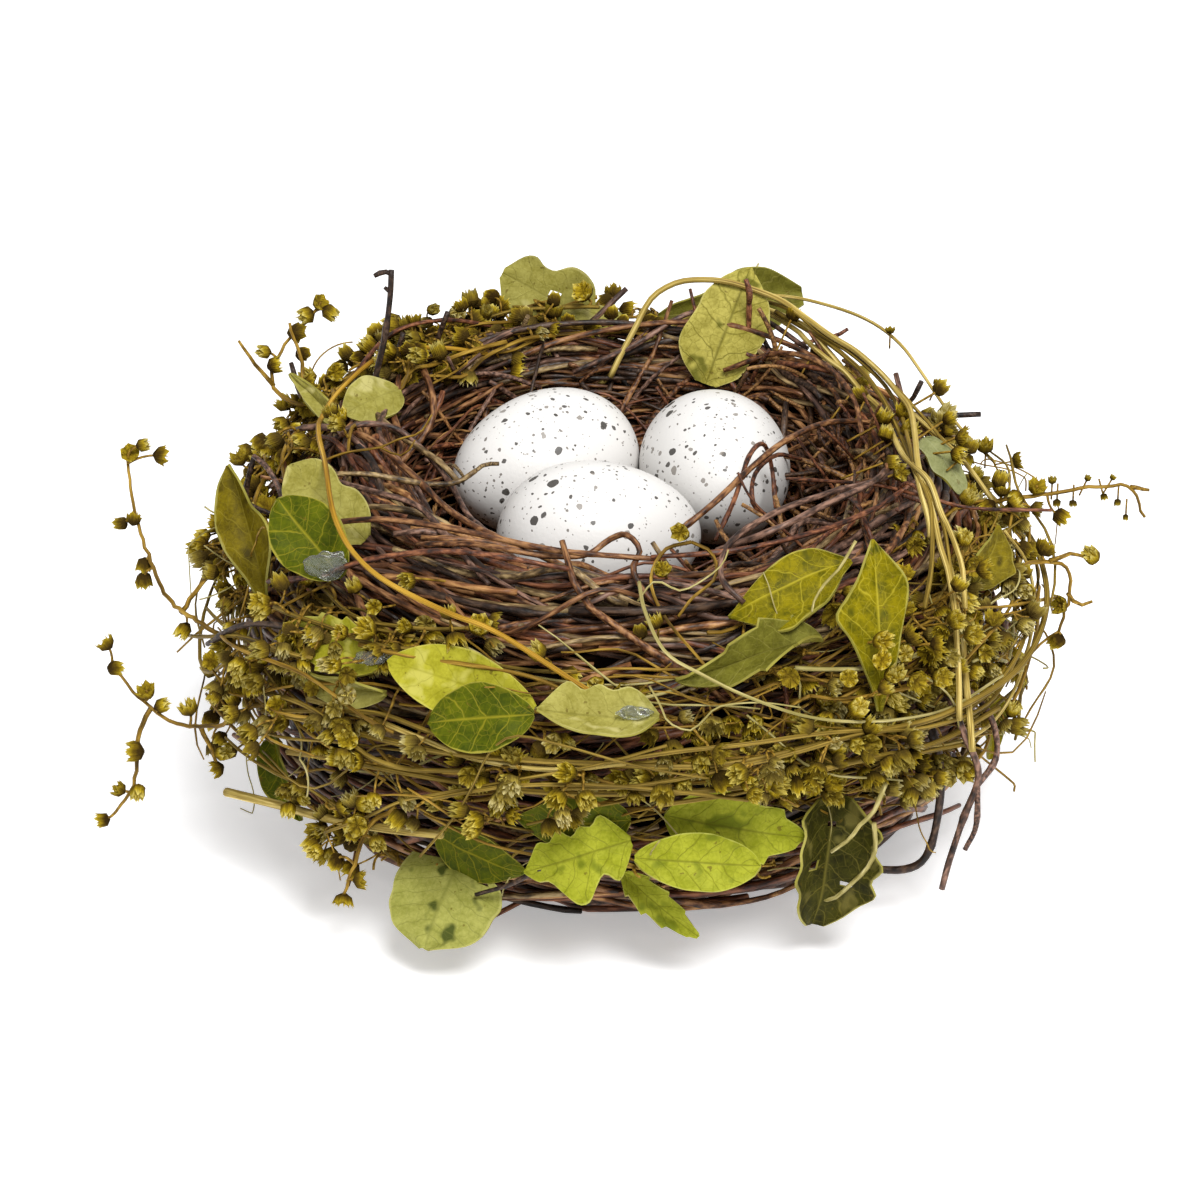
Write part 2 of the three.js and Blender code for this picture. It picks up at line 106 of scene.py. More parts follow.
def smoothPath(corners, step=1.5):
    # a rounded path through the corners, in even steps
    corners = np.array(corners, float)
    padded = np.vstack([2 * corners[0] - corners[1], corners, 2 * corners[-1] - corners[-2]])
    rounded = []
    for i in range(1, len(padded) - 2):
        before, here, there, after = padded[i - 1:i + 3]
        for t in np.linspace(0, 1, 14, endpoint=False):
            rounded.append(0.5 * (2 * here + (there - before) * t
                                  + (2 * before - 5 * here + 4 * there - after) * t ** 2
                                  + (3 * here - before - 3 * there + after) * t ** 3))
    rounded.append(corners[-1])
    rounded = np.array(rounded)
    travel = np.concatenate([[0], np.cumsum(np.linalg.norm(np.diff(rounded, axis=0), axis=1))])
    count = max(4, int(travel[-1] / step))
    evenly = np.linspace(0, travel[-1], count)
    return np.stack([np.interp(evenly, travel, rounded[:, k]) for k in range(3)], 1)


# the nest's surface in mm: half sections from the base's edge to the crest, and on to the cup's floor
nestShape = {
    "outside": [(38, 0), (64, 4), (64, 50), (45, 57)],
    "inside": [(45, 57), (35, 59), (38, 27), (0, 34.6)],
    "backRise": 3.2,      # the rim stands higher at the back
    "frontDip": 3.6,      # and lower at the front
    "rimWidth": 0.22,     # the share of the section that the rise takes in
    "wallRadius": 52,     # mean radii, for the length of a twig
    "cupRadius": 38,
}


def wallPoints(degrees, share, lift):
    # share 0 is the base's edge, 1 the crest, 2 the middle of the cup's floor; lift goes out along the normal
    degrees, share, lift = np.broadcast_arrays(*[np.asarray(v, float) for v in (degrees, share, lift)])
    outer = (share <= 1)[..., None]
    t = np.where(share <= 1, share, share - 1)[..., None]
    a, b, c, d = [np.where(outer, np.array(p, float), np.array(q, float))
                  for p, q in zip(nestShape["outside"], nestShape["inside"])]
    point = a * (1 - t) ** 3 + 3 * b * t * (1 - t) ** 2 + 3 * c * t ** 2 * (1 - t) + d * t ** 3
    slope = 3 * (b - a) * (1 - t) ** 2 + 6 * (c - b) * t * (1 - t) + 3 * (d - c) * t ** 2
    slope /= np.maximum(np.linalg.norm(slope, axis=-1, keepdims=True), 1e-9)
    radius = point[..., 0] + slope[..., 1] * lift
    height = point[..., 1] - slope[..., 0] * lift
    angle = np.radians(degrees)
    rise = np.where(np.sin(angle) > 0, nestShape["backRise"], nestShape["frontDip"]) * np.sin(angle)
    rise = rise * np.exp(-((share - 1) / nestShape["rimWidth"]) ** 2)
    return np.stack([radius * np.cos(angle), radius * np.sin(angle), height + rise], -1)


# camera, light and floor; the view in mm and degrees
view = {"target": (-3.5, 0, 32.9), "distance": 620, "elevation": 25, "lens": 115.53}
elevation = math.radians(view["elevation"])
bpy.ops.object.camera_add()
camera = nameNew("camera")
camera.location = (Vector(view["target"]) + view["distance"]
                   * Vector((0, -math.cos(elevation), math.sin(elevation)))) * mm
camera.rotation_euler = (math.pi / 2 - elevation, 0, 0)
camera.data.sensor_width = 36
camera.data.lens = view["lens"]
camera.data.clip_start = 0.01
bpy.context.scene.camera = camera

studio = {"sky": 0.64, "keyPower": 9.4, "keySize": 0.4, "keyPlace": (0.16, -0.5, 0.8),
          "floor": (0.93, 0.93, 0.94), "floorGlow": 0.36}
world = bpy.data.worlds.new("studio")
world.use_nodes = True
world.node_tree.nodes["Background"].inputs["Color"].default_value = (1, 1, 1, 1)
world.node_tree.nodes["Background"].inputs["Strength"].default_value = studio["sky"]
bpy.context.scene.world = world
bpy.context.scene.view_settings.view_transform = "Standard"
bpy.ops.object.light_add(type="AREA", location=studio["keyPlace"])
key = nameNew("softbox")
key.data.energy = studio["keyPower"]
key.data.size = studio["keySize"]
key.rotation_euler = (Vector(view["target"]) * mm - key.location).to_track_quat("-Z", "Y").to_euler()

bpy.ops.object.select_all(action="DESELECT")
bpy.ops.mesh.primitive_plane_add(size=8)
floor = nameNew("floor")
paper = bpy.data.materials.new("floorPaper")
paper.use_nodes = True
paper.node_tree.nodes["Principled BSDF"].inputs["Base Color"].default_value = (*studio["floor"], 1)
paper.node_tree.nodes["Principled BSDF"].inputs["Roughness"].default_value = 0.9
paper.node_tree.nodes["Principled BSDF"].inputs["Emission Color"].default_value = (1, 1, 1, 1)
paper.node_tree.nodes["Principled BSDF"].inputs["Emission Strength"].default_value = studio["floorGlow"]
floor.data.materials.append(paper)
print("nest: camera, light and floor set")


# materials
def newMaterial(name, roughness, specular=0.3):
    material = bpy.data.materials.new(name)
    material.use_nodes = True
    tree = material.node_tree
    shader = tree.nodes["Principled BSDF"]
    shader.inputs["Roughness"].default_value = roughness
    shader.inputs["Specular IOR Level"].default_value = specular
    return material, tree, shader


def addNode(tree, kind, links=None, **settings):
    node = tree.nodes.new(kind)
    for key, value in settings.items():
        setattr(node, key, value)
    for socket, source in (links or {}).items():
        target = node.inputs[socket]
        if isinstance(source, bpy.types.NodeSocket):
            tree.links.new(source, target)
        else:
            target.default_value = source
    return node


def calc(tree, operation, *values):
    node = tree.nodes.new("ShaderNodeMath")
    node.operation = operation
    for socket, value in zip(node.inputs, values):
        if isinstance(value, bpy.types.NodeSocket):
            tree.links.new(value, socket)
        else:
            socket.default_value = value
    return node.outputs[0]


def ramp(tree, factor, stops):
    node = addNode(tree, "ShaderNodeValToRGB", {"Fac": factor})
    while len(node.color_ramp.elements) < len(stops):
        node.color_ramp.elements.new(0.5)
    for element, (place, color) in zip(node.color_ramp.elements, stops):
        element.position = place
        element.color = hexColor(color) if isinstance(color, str) else (color, color, color, 1)
    return node.outputs["Color"]


def mixColors(tree, factor, first, second):
    node = tree.nodes.new("ShaderNodeMix")
    node.data_type = "RGBA"
    for socket, value in ((node.inputs[0], factor), (node.inputs[6], first), (node.inputs[7], second)):
        if isinstance(value, bpy.types.NodeSocket):
            tree.links.new(value, socket)
        else:
            socket.default_value = hexColor(value) if isinstance(value, str) else value
    return node.outputs[2]


def objectNoise(tree, scale, detail=3, roughness=0.55):
    place = addNode(tree, "ShaderNodeTexCoord")
    return addNode(tree, "ShaderNodeTexNoise", {"Vector": place.outputs["Object"], "Scale": scale,
                                                "Detail": detail, "Roughness": roughness}).outputs["Fac"]


def lengthNoise(tree, along, around, detail=2):
    # streaks that follow a stem: the UV map runs along it and around it
    place = addNode(tree, "ShaderNodeTexCoord")
    stretched = addNode(tree, "ShaderNodeMapping", {"Vector": place.outputs["UV"], "Scale": (along, around, 1)})
    return addNode(tree, "ShaderNodeTexNoise", {"Vector": stretched.outputs["Vector"], "Scale": 1,
                                                "Detail": detail}).outputs["Fac"]


def bump(tree, height, strength, distance):
    return addNode(tree, "ShaderNodeBump", {"Height": height, "Strength": strength,
                                            "Distance": distance}).outputs["Normal"]


def barkMaterial(name, dark, middle, light):
    material, tree, shader = newMaterial(name, 0.44, 0.3)
    streaks = lengthNoise(tree, 26, 5)
    patches = objectNoise(tree, 160, 4)
    worn = calc(tree, "ADD", calc(tree, "MULTIPLY", streaks, 0.6), calc(tree, "MULTIPLY", patches, 0.4))
    tree.links.new(ramp(tree, worn, [(0.39, dark), (0.5, middle), (0.61, light)]), shader.inputs["Base Color"])
    grain = calc(tree, "ADD", lengthNoise(tree, 60, 9), calc(tree, "MULTIPLY", objectNoise(tree, 1500, 3), 0.6))
    tree.links.new(bump(tree, grain, 0.5, 0.00025), shader.inputs["Normal"])
    return material


# bark of each kind: dark, middle and light tone
barks = [
    barkMaterial("barkWarm", "#221208", "#5f3a20", "#9c7148"),
    barkMaterial("barkRed", "#221008", "#58301c", "#905c3c"),
    barkMaterial("barkMauve", "#1e1410", "#523a2e", "#8e6c5a"),
    barkMaterial("barkGrey", "#2e2212", "#6b5536", "#a88f62"),
    barkMaterial("barkDark", "#110a06", "#2c1d14", "#554030"),
    barkMaterial("barkTan", "#38200c", "#7e522f", "#b98b56"),
    # near-black tones: painted shade for the gaps deep in the wall
    barkMaterial("packedBarkPaintedShade", "#090503", "#150c07", "#221509"),
]
packedBarkPaintedShade = barks[-1]     # deep in the wall, nearly without shine; its near-black tone is painted shade
paintedShadeShader = packedBarkPaintedShade.node_tree.nodes["Principled BSDF"]
paintedShadeShader.inputs["Specular IOR Level"].default_value = 0.03
paintedShadeShader.inputs["Roughness"].default_value = 0.95
barkChance = [0.29, 0.22, 0.16, 0.08, 0.15, 0.1]     # shares of the first six among the twigs


def stemMaterial(name, dark, middle, light, ribs=9):
    material, tree, shader = newMaterial(name, 0.55, 0.16)
    lines = lengthNoise(tree, 5, ribs, 3)
    patches = objectNoise(tree, 90, 3)
    tone = calc(tree, "ADD", calc(tree, "MULTIPLY", lines, 0.7), calc(tree, "MULTIPLY", patches, 0.3))
    tree.links.new(ramp(tree, tone, [(0.36, dark), (0.5, middle), (0.64, light)]), shader.inputs["Base Color"])
    tree.links.new(bump(tree, lines, 0.6, 0.0003), shader.inputs["Normal"])
    return material


strawFinish = stemMaterial("strawOchre", "#6c5422", "#ae964a", "#e4ce86")
strawOlive = stemMaterial("strawOlive", "#42340f", "#755f1f", "#a88d3f")
strawYellow = stemMaterial("strawYellow", "#6f4c0d", "#a27a1d", "#cda644")
stalkFinish = stemMaterial("stalkOchre", "#45330b", "#7f611c", "#b8953c", 4)
tendrilFinish = stemMaterial("tendrilPale", "#746a32", "#9f935a", "#c6bb86", 3)
rootFinishes = [barkMaterial("rootRed", "#27140a", "#583220", "#865536"),
                barkMaterial("rootDark", "#180e07", "#382314", "#5d4026"),
                barkMaterial("rootTan", "#3a220e", "#74502c", "#a47b49")]


def flowerMaterial(name, base, middle, petal, tip):
    material, tree, shader = newMaterial(name, 0.85, 0.04)
    place = addNode(tree, "ShaderNodeTexCoord")
    split = addNode(tree, "ShaderNodeSeparateXYZ", {"Vector": place.outputs["UV"]})
    tone = addNode(tree, "ShaderNodeAttribute", attribute_name="tone").outputs["Fac"]
    height = calc(tree, "ADD", split.outputs["Y"],
                  calc(tree, "MULTIPLY", calc(tree, "SUBTRACT", objectNoise(tree, 1100, 2), 0.5), 0.45))
    color = ramp(tree, height, [(0.15, base), (0.42, middle), (0.7, petal), (0.93, tip)])
    # painted shade in the seams between the petals, strongest towards the base, and fine nerves along each
    seam = calc(tree, "PINGPONG", split.outputs["X"], 0.5)
    seamPaintedShade = calc(tree, "MULTIPLY", ramp(tree, seam, [(0.0, 0.75), (0.3, 0.0)]),
                    calc(tree, "SUBTRACT", 1.1, split.outputs["Y"]))
    color = mixColors(tree, seamPaintedShade, color, base)
    nerve = calc(tree, "PINGPONG", calc(tree, "MULTIPLY", split.outputs["X"], 4), 0.5)
    color = mixColors(tree, calc(tree, "MULTIPLY", nerve, 0.5), color, base)
    color = mixColors(tree, calc(tree, "MULTIPLY", tone, 0.65), color, "#52431c")
    tree.links.new(color, shader.inputs["Base Color"])
    relief = calc(tree, "ADD", calc(tree, "MULTIPLY", nerve, 0.8), objectNoise(tree, 3500, 3))
    tree.links.new(bump(tree, relief, 0.7, 0.0003), shader.inputs["Normal"])
    return material


flowerFinishes = [flowerMaterial("flowerYellow", "#33240a", "#776010", "#bba123", "#ecda78"),
                  flowerMaterial("flowerOlive", "#2a1f06", "#66530e", "#a58c1a", "#dfcb60"),
                  flowerMaterial("flowerGrey", "#443617", "#746327", "#a9953e", "#dfd190")]


def leafMaterial(name, face, shadow, vein, margin, veins=6, veinDepth=0.5, spots=None, veinShow=0.8):
    material, tree, shader = newMaterial(name, 0.55, 0.09)
    place = addNode(tree, "ShaderNodeTexCoord")
    split = addNode(tree, "ShaderNodeSeparateXYZ", {"Vector": place.outputs["UV"]})
    wobble = calc(tree, "MULTIPLY", calc(tree, "SUBTRACT", objectNoise(tree, 260, 2), 0.5), 0.17)
    across = calc(tree, "ABSOLUTE", calc(tree, "SUBTRACT", calc(tree, "MULTIPLY", split.outputs["X"], 2), 1))
    midrib = calc(tree, "SMOOTH_MIN", calc(tree, "MULTIPLY", across, 15), 1, 0.2)
    slant = calc(tree, "ADD", calc(tree, "SUBTRACT", split.outputs["Y"],
                                   calc(tree, "MULTIPLY", across, 0.2)), wobble)
    side = calc(tree, "MULTIPLY", calc(tree, "PINGPONG", calc(tree, "MULTIPLY", slant, veins), 0.5), 17)
    net = addNode(tree, "ShaderNodeTexVoronoi", {"Vector": place.outputs["Object"], "Scale": 620},
                  feature="DISTANCE_TO_EDGE")
    fine = calc(tree, "MULTIPLY", net.outputs["Distance"], 9)
    lines = calc(tree, "MINIMUM", calc(tree, "MINIMUM", midrib, calc(tree, "ADD", side, 0.12)),
                 calc(tree, "ADD", fine, 0.6))
    lines = calc(tree, "MINIMUM", lines, 1)
    mottle = calc(tree, "ADD", calc(tree, "MULTIPLY", objectNoise(tree, 330, 4, 0.65), 0.7),
                  calc(tree, "MULTIPLY", objectNoise(tree, 2200, 3), 0.3))
    color = mixColors(tree, ramp(tree, mottle, [(0.4, 0.0), (0.62, 1.0)]), face, shadow)
    if spots:
        blots = ramp(tree, objectNoise(tree, 210, 2), [(0.58, 0.0), (0.66, 1.0)])
        color = mixColors(tree, blots, color, spots)
    specks = ramp(tree, objectNoise(tree, 900, 2), [(0.67, 0.0), (0.72, 0.7)])
    color = mixColors(tree, specks, color, "#5a4b14")
    veinFactor = calc(tree, "MULTIPLY", calc(tree, "SUBTRACT", 1, lines), veinShow)
    color = mixColors(tree, veinFactor, color, vein)
    edge = ramp(tree, calc(tree, "ADD", across, wobble), [(0.95, 0.0), (0.985, 0.6)])
    color = mixColors(tree, edge, color, margin)
    tree.links.new(color, shader.inputs["Base Color"])
    relief = calc(tree, "ADD", calc(tree, "MULTIPLY", lines, veinDepth), calc(tree, "MULTIPLY", mottle, 0.5))
    tree.links.new(bump(tree, relief, 0.45, 0.0003), shader.inputs["Normal"])
    return material


marginFinish = stemMaterial("leafMargin", "#67601e", "#8b8436", "#aaa256", 2)
# face, shadow, vein and margin tone, side veins, their depth, spots, and how much the veins show
leafLooks = {
    "dark": leafMaterial("leafDark", "#525802", "#343e00", "#988c20", "#a69b3c", 5, 0.5, None, 0.6),
    "olive": leafMaterial("leafOlive", "#7f7302", "#4f4b00", "#ad9f2c", "#b0a64c", 5, 0.7, "#444402", 0.7),
    "lime": leafMaterial("leafLime", "#a29d2d", "#868217", "#767210", "#bab256", 6, 0.4, "#aea84c", 0.4),
    "low": leafMaterial("leafLow", "#989b2a", "#7c8114", "#4f4d0c", "#aeae52", 6, 0.5, "#687012", 0.55),
    "pale": leafMaterial("leafPale", "#9c954c", "#807931", "#767030", "#b4ac6c", 6, 0.5, "#b0a868", 0.4),
    "veined": leafMaterial("leafVeined", "#aaa04c", "#837a2c", "#544f12", "#b6ad66", 5, 0.8, "#625f1c", 0.7),
    "spotted": leafMaterial("leafSpotted", "#9a994e", "#7f8036", "#6c6d2e", "#b0ac66", 6, 0.5, "#434a1a", 0.5),
    "grey": leafMaterial("leafGrey", "#8e9060", "#74774a", "#a2a47a", "#a9ab80", 6, 0.4, None, 0.4),
    "brown": leafMaterial("leafBrown", "#7a6b10", "#554909", "#94862e", "#a99e54", 4, 0.7, "#463c0a", 0.5),
    "dull": leafMaterial("leafDull", "#6f6c26", "#514e14", "#938c44", "#9c9650", 6, 0.5, None, 0.45),
    "deep": leafMaterial("leafDeep", "#39370a", "#201f02", "#6e6528", "#958b4c", 6, 0.5, "#5c5526", 0.6),
}
leafUnder = leafMaterial("leafUnder", "#8a8338", "#6e6722", "#a49a54", "#a8a05c", 6, 0.6, None, 0.5)

# speckles of several sizes: cell in mm, share of cells with a spot, least and most radius in mm, colour, strength
eggSpots = [
    (0.8, 0.6, 0.07, 0.18, "#6a6157", 0.7),
    (1.1, 0.5, 0.12, 0.32, "#5d554c", 0.85),
    (1.6, 0.6, 0.2, 0.5, "#3d3833", 0.93),
    (2.5, 0.4, 0.34, 0.75, "#776f66", 0.8),
    (3.9, 0.5, 0.5, 1.15, "#38342f", 0.95),
]


def eggMaterial():
    material, tree, shader = newMaterial("eggshell", 0.42, 0.4)
    place = addNode(tree, "ShaderNodeTexCoord")
    shift = addNode(tree, "ShaderNodeTexNoise", {"Vector": place.outputs["Object"], "Scale": 700, "Detail": 2})
    wander = addNode(tree, "ShaderNodeVectorMath", {0: shift.outputs["Color"], 1: (0.5, 0.5, 0.5)},
                     operation="SUBTRACT")
    wander = addNode(tree, "ShaderNodeVectorMath", {0: wander.outputs[0], "Scale": 0.0009}, operation="SCALE")
    moved = addNode(tree, "ShaderNodeVectorMath", {0: place.outputs["Object"], 1: wander.outputs[0]},
                    operation="ADD")
    color = mixColors(tree, objectNoise(tree, 60, 2), "#dfddda", "#d6d3cf")
    for cell, chance, least, most, tint, depth in eggSpots:
        cells = addNode(tree, "ShaderNodeTexVoronoi", {"Vector": moved.outputs[0], "Scale": 1000 / cell,
                                                       "Randomness": 1})
        dice = addNode(tree, "ShaderNodeSeparateColor", {"Color": cells.outputs["Color"]})
        size = calc(tree, "MULTIPLY_ADD", calc(tree, "POWER", dice.outputs["Green"], 2.5),
                    (most - least) / cell, least / cell)
        inside = calc(tree, "LESS_THAN", cells.outputs["Distance"], size)
        chosen = calc(tree, "LESS_THAN", dice.outputs["Red"], chance)
        mask = calc(tree, "MULTIPLY", calc(tree, "MULTIPLY", inside, chosen), depth)
        color = mixColors(tree, mask, color, tint)
    tree.links.new(color, shader.inputs["Base Color"])
    tree.links.new(bump(tree, objectNoise(tree, 1800, 3), 0.12, 0.0003), shader.inputs["Normal"])
    return material


eggFinish = eggMaterial()
glueFinish, glueTree, glueShader = newMaterial("clearGlue", 0.12, 0.4)
glueShader.inputs["Transmission Weight"].default_value = 0.93
glueShader.inputs["IOR"].default_value = 1.4
glueTree.links.new(mixColors(glueTree, objectNoise(glueTree, 500, 3), "#e6e8de", "#c3c8b8"),
                   glueShader.inputs["Base Color"])
print("nest: materials made")


# stems and twigs
strawRibs = {"count": 10, "groove": 0.82}


def stemPiece(name, stems, finishes, sides=6, ribbed=False):
    # stems are (points in mm, radii in mm, finish number)
    curve = bpy.data.curves.new(name, "CURVE")
    curve.dimensions = "3D"
    curve.use_fill_caps = True
    profile = None
    if ribbed:
        bpy.ops.object.select_all(action="DESELECT")
        bpy.ops.curve.primitive_nurbs_circle_add(radius=mm)
        profile = bpy.context.object
        profile.data.splines.clear()
        ring = profile.data.splines.new("POLY")
        around = 2 * strawRibs["count"]
        ring.points.add(around - 1)
        for i, point in enumerate(ring.points):
            reach = mm * (1 if i % 2 else strawRibs["groove"])
            turn = 2 * math.pi * i / around
            point.co = (reach * math.cos(turn), reach * math.sin(turn), 0, 1)
        ring.use_cyclic_u = True
        curve.bevel_mode = "OBJECT"
        curve.bevel_object = profile
    else:
        curve.bevel_depth = mm
        curve.bevel_resolution = {4: 0, 6: 1, 8: 2}[sides]
    for finish in finishes:
        curve.materials.append(finish)
    for points, radii, finishNumber in stems:
        spline = curve.splines.new("POLY")
        spline.points.add(len(points) - 1)
        flat = np.ones((len(points), 4))
        flat[:, :3] = points * mm
        spline.points.foreach_set("co", flat.ravel())
        spline.points.foreach_set("radius", np.broadcast_to(radii, len(points)).astype(float))
        spline.material_index = finishNumber
        spline.use_smooth = True
    piece = bpy.data.objects.new(name, curve)
    bpy.context.collection.objects.link(piece)
    selectOnly(piece)
    bpy.ops.object.convert(target="MESH")
    piece = nameNew(name)
    if profile:
        bpy.data.objects.remove(profile)
    weldMesh(1e-7)
    return piece


def knuckles(rng, length):
    # the nodes of a vine: a bump every 12 to 22 mm
    places = [rng.uniform(2, 10)]
    while places[-1] < length:
        places.append(places[-1] + rng.uniform(12, 22))
    return np.array(places)


def drift(rng, travel, size, spacing):
    # a slow sideways wander, firm between its turning points
    count = max(3, int(travel[-1] / spacing) + 2)
    places = np.linspace(0, travel[-1] + 1, count) + rng.uniform(-0.25, 0.25, count) * spacing
    values = np.interp(travel, np.sort(places), rng.normal(0, size, count))
    kernel = np.array([1, 2, 3, 2, 1]) / 9
    return np.convolve(np.pad(values, 2, mode="edge"), kernel, mode="valid")


def vineRadii(rng, travel, radius, taper=0.75):
    radii = radius * (1 + 0.05 * np.sin(travel * 0.5 + rng.uniform(0, 6)))
    for place in knuckles(rng, travel[-1]):
        radii = radii * (1 + 0.26 * np.exp(-((travel - place) / 1.1) ** 2))
    return radii * np.interp(travel / travel[-1], [0, 0.06, 0.7, 1], [0.85, 1, 1, taper])


def coilStem(rng, spec):
    # one twig wound along the wall
    start = rng.uniform(*spec["around"])
    sweep = rng.uniform(*spec["sweep"]) * rng.choice([-1, 1])
    shareStart = rng.uniform(*spec["share"])
    shareEnd = np.clip(shareStart + rng.uniform(-1, 1) * spec["slant"], *spec["share"])
    if spec.get("steep"):     # from the rim down into the cup
        sweep, shareStart = abs(sweep), spec["share"][0] + rng.uniform(-0.04, 0.12)
        shareEnd = spec["share"][1] - rng.uniform(0, 0.25)
    radius = rng.uniform(*spec["radius"])
    reach = nestShape["wallRadius"] if shareStart < 1.1 else nestShape["cupRadius"]
    length = math.radians(abs(sweep)) * reach
    count = max(6, int(length / spec["step"]))
    travel = np.linspace(0, length, count)
    t = travel / length
    wander = spec["wander"]
    share = shareStart + (shareEnd - shareStart) * t + drift(rng, travel, 0.016 * wander, 15)
    lift = rng.uniform(*spec["lift"]) + drift(rng, travel, 0.75 * wander, 13)
    if rng.random() < spec.get("loose", 0):
        lift = lift + rng.uniform(2, 7) * np.clip((t - 0.8) / 0.2, 0, 1) ** 1.5
        share = share + rng.uniform(-0.03, 0.06) * np.clip((t - 0.8) / 0.2, 0, 1)
    degrees = start + sweep * t + drift(rng, travel, 0.6 * wander, 16)
    points = wallPoints(degrees, np.clip(share, 0.0, 1.99), lift)
    points[:, 2] = np.maximum(points[:, 2], radius * 1.3)     # its knuckles stay above the ground
    tone = rng.choice(len(spec["chance"]), p=spec["chance"])
    return points, vineRadii(rng, travel, radius), int(tone)


# twigs wound on the nest: around and sweep in degrees, share up the wall (to 1) and down into the cup (to 2),
# slant the most that share changes along a twig, lift in mm off the surface
nestTwigs = {
    "wallTwigsLow": {"count": 205, "around": (0, 360), "sweep": (30, 110), "share": (0.02, 0.55), "slant": 0.36,
        "lift": (-3.0, 1.6), "radius": (0.38, 0.7), "wander": 1.7, "loose": 0.18, "step": 2.6,
        "nodes": ["vine_low_wall"]},
    "wallTwigsDeep": {"count": 150, "around": (0, 360), "sweep": (30, 100), "share": (0.08, 0.96), "slant": 0.4,
        "lift": (-5.0, -1.8), "radius": (0.4, 0.72), "wander": 1.4, "step": 3.2, "nodes": []},
    "wallTwigsHigh": {"count": 255, "around": (0, 360), "sweep": (25, 110), "share": (0.5, 1.0), "slant": 0.44,
        "lift": (-3.4, 1.4), "radius": (0.36, 0.68), "wander": 1.9, "loose": 0.16, "step": 2.4,
        "nodes": ["vine_outer_rim"]},
    "rimTwigs": {"count": 160, "around": (0, 360), "sweep": (35, 135), "share": (0.84, 1.2), "slant": 0.36,
        "lift": (-2.8, 1.5), "radius": (0.38, 0.68), "wander": 2.1, "loose": 0.14, "step": 2.1,
        "nodes": ["vine_crest"]},
    "cupTwigs": {"count": 170, "around": (0, 360), "sweep": (22, 120), "share": (1.04, 1.74), "slant": 0.5,
        "lift": (-3.0, 1.2), "radius": (0.34, 0.6), "wander": 2.0, "loose": 0.06, "step": 2.1,
        "nodes": ["vine_inner_rim"]},
    "slantedTwigs": {"count": 60, "around": (140, 228), "sweep": (28, 80), "share": (1.0, 1.62), "slant": 0,
        "steep": True, "lift": (-0.3, 3.4), "radius": (0.42, 0.7), "wander": 3.0, "loose": 0.05, "step": 2.0,
        "nodes": []},
    "tangledTwigs": {"count": 150, "around": (-78, 140), "sweep": (8, 42), "share": (1.0, 1.72), "slant": 0.75,
        "lift": (-1.2, 2.6), "radius": (0.32, 0.56), "wander": 2.8, "loose": 0.3, "step": 1.9, "nodes": []},
}
rng = np.random.default_rng(seeds["walls"])
for name, spec in nestTwigs.items():
    spec["chance"] = barkChance
    stems = [coilStem(rng, spec) for _ in range(spec["count"])]
    finishPiece(stemPiece(name, stems, barks), "twig", *spec["nodes"])
print("nest: wall, rim and cup twigs wound")

# twigs coiled flat under the nest, which it rests on
underside = {"count": 46, "radius": (0.7, 0.95), "rings": (2, 38), "sweep": (120, 340), "wholeWithin": 12,
    "step": 2.4}
rng = np.random.default_rng(seeds["underside"])
stems = []
for i in range(underside["count"]):
    inner, outer = underside["rings"]
    ring = inner + (outer - inner) * (i + rng.random()) / underside["count"]
    sweep = rng.uniform(*underside["sweep"]) if ring > underside["wholeWithin"] else 360
    length = math.radians(sweep) * ring
    travel = np.linspace(0, length, max(10, int(length / underside["step"])))
    angle = np.radians(rng.uniform(0, 360)) + travel / ring
    thickness = rng.uniform(*underside["radius"])
    radial = ring + drift(rng, travel, 1.0, 14)
    height = thickness * 1.28 + np.abs(drift(rng, travel, 0.5, 12))     # the knuckles just clear the ground
    points = np.stack([radial * np.cos(angle), radial * np.sin(angle), height], 1)
    stems.append((points, vineRadii(rng, travel, thickness), int(rng.choice(6, p=barkChance))))
finishPiece(stemPiece("undersideTwigs", stems, barks), "twig")

# the imported twigs deeper in the wall, as a ridged sheet seen only in the gaps; its near-black colour is painted
# shade
deepMass = {"lift": -4.2, "rows": 66, "around": 140, "ridge": 0.8, "floor": 2.2}
bpy.ops.object.select_all(action="DESELECT")
bpy.ops.mesh.primitive_plane_add(size=mm)
mass = nameNew("packedTwigsPaintedShade")
shares = np.linspace(0.0, 1.999, deepMass["rows"])
ridges = deepMass["ridge"] * np.cos(np.arange(deepMass["rows"]) * math.pi)
section = wallPoints(0, shares, deepMass["lift"] + ridges)
section[:, 1] = 0
section[:, 2] = np.maximum(section[:, 2], deepMass["floor"])
section[0] = (0, 0, deepMass["floor"])     # both ends lie on the axis
section[-1, 0] = 0
mass.data.clear_geometry()
mass.data.from_pydata((section * mm).tolist(), [(i, i + 1) for i in range(len(section) - 1)], [])
bpy.ops.object.mode_set(mode="EDIT")
bpy.ops.mesh.select_all(action="SELECT")
bpy.ops.mesh.spin(steps=deepMass["around"], angle=2 * math.pi, center=(0, 0, 0), axis=(0, 0, 1))
bpy.ops.object.mode_set(mode="OBJECT")
weldMesh(1e-5)
mass.data.materials.append(packedBarkPaintedShade)
finishPiece(mass, "dark_twig", "nest_cup")
print("nest: underside and packed twigs done")

# rootlets matted in the bottom of the cup, and broken bits on its right side
rootlets = {
    "count": 400,
    "around": (0, 360),
    "sweep": (25, 120),
    "share": (1.3, 1.97),
    "slant": 0.3,
    "lift": (0.2, 2.6),
    "radius": (0.14, 0.34),
    "wander": 2.6,
    "step": 1.9,
    "chance": [0.5, 0.25, 0.25],
}
rng = np.random.default_rng(seeds["cup"])
stems = [coilStem(rng, rootlets) for _ in range(rootlets["count"])]
finishPiece(stemPiece("rootlets", stems, rootFinishes, sides=4), "rootlet", "nest_lining")


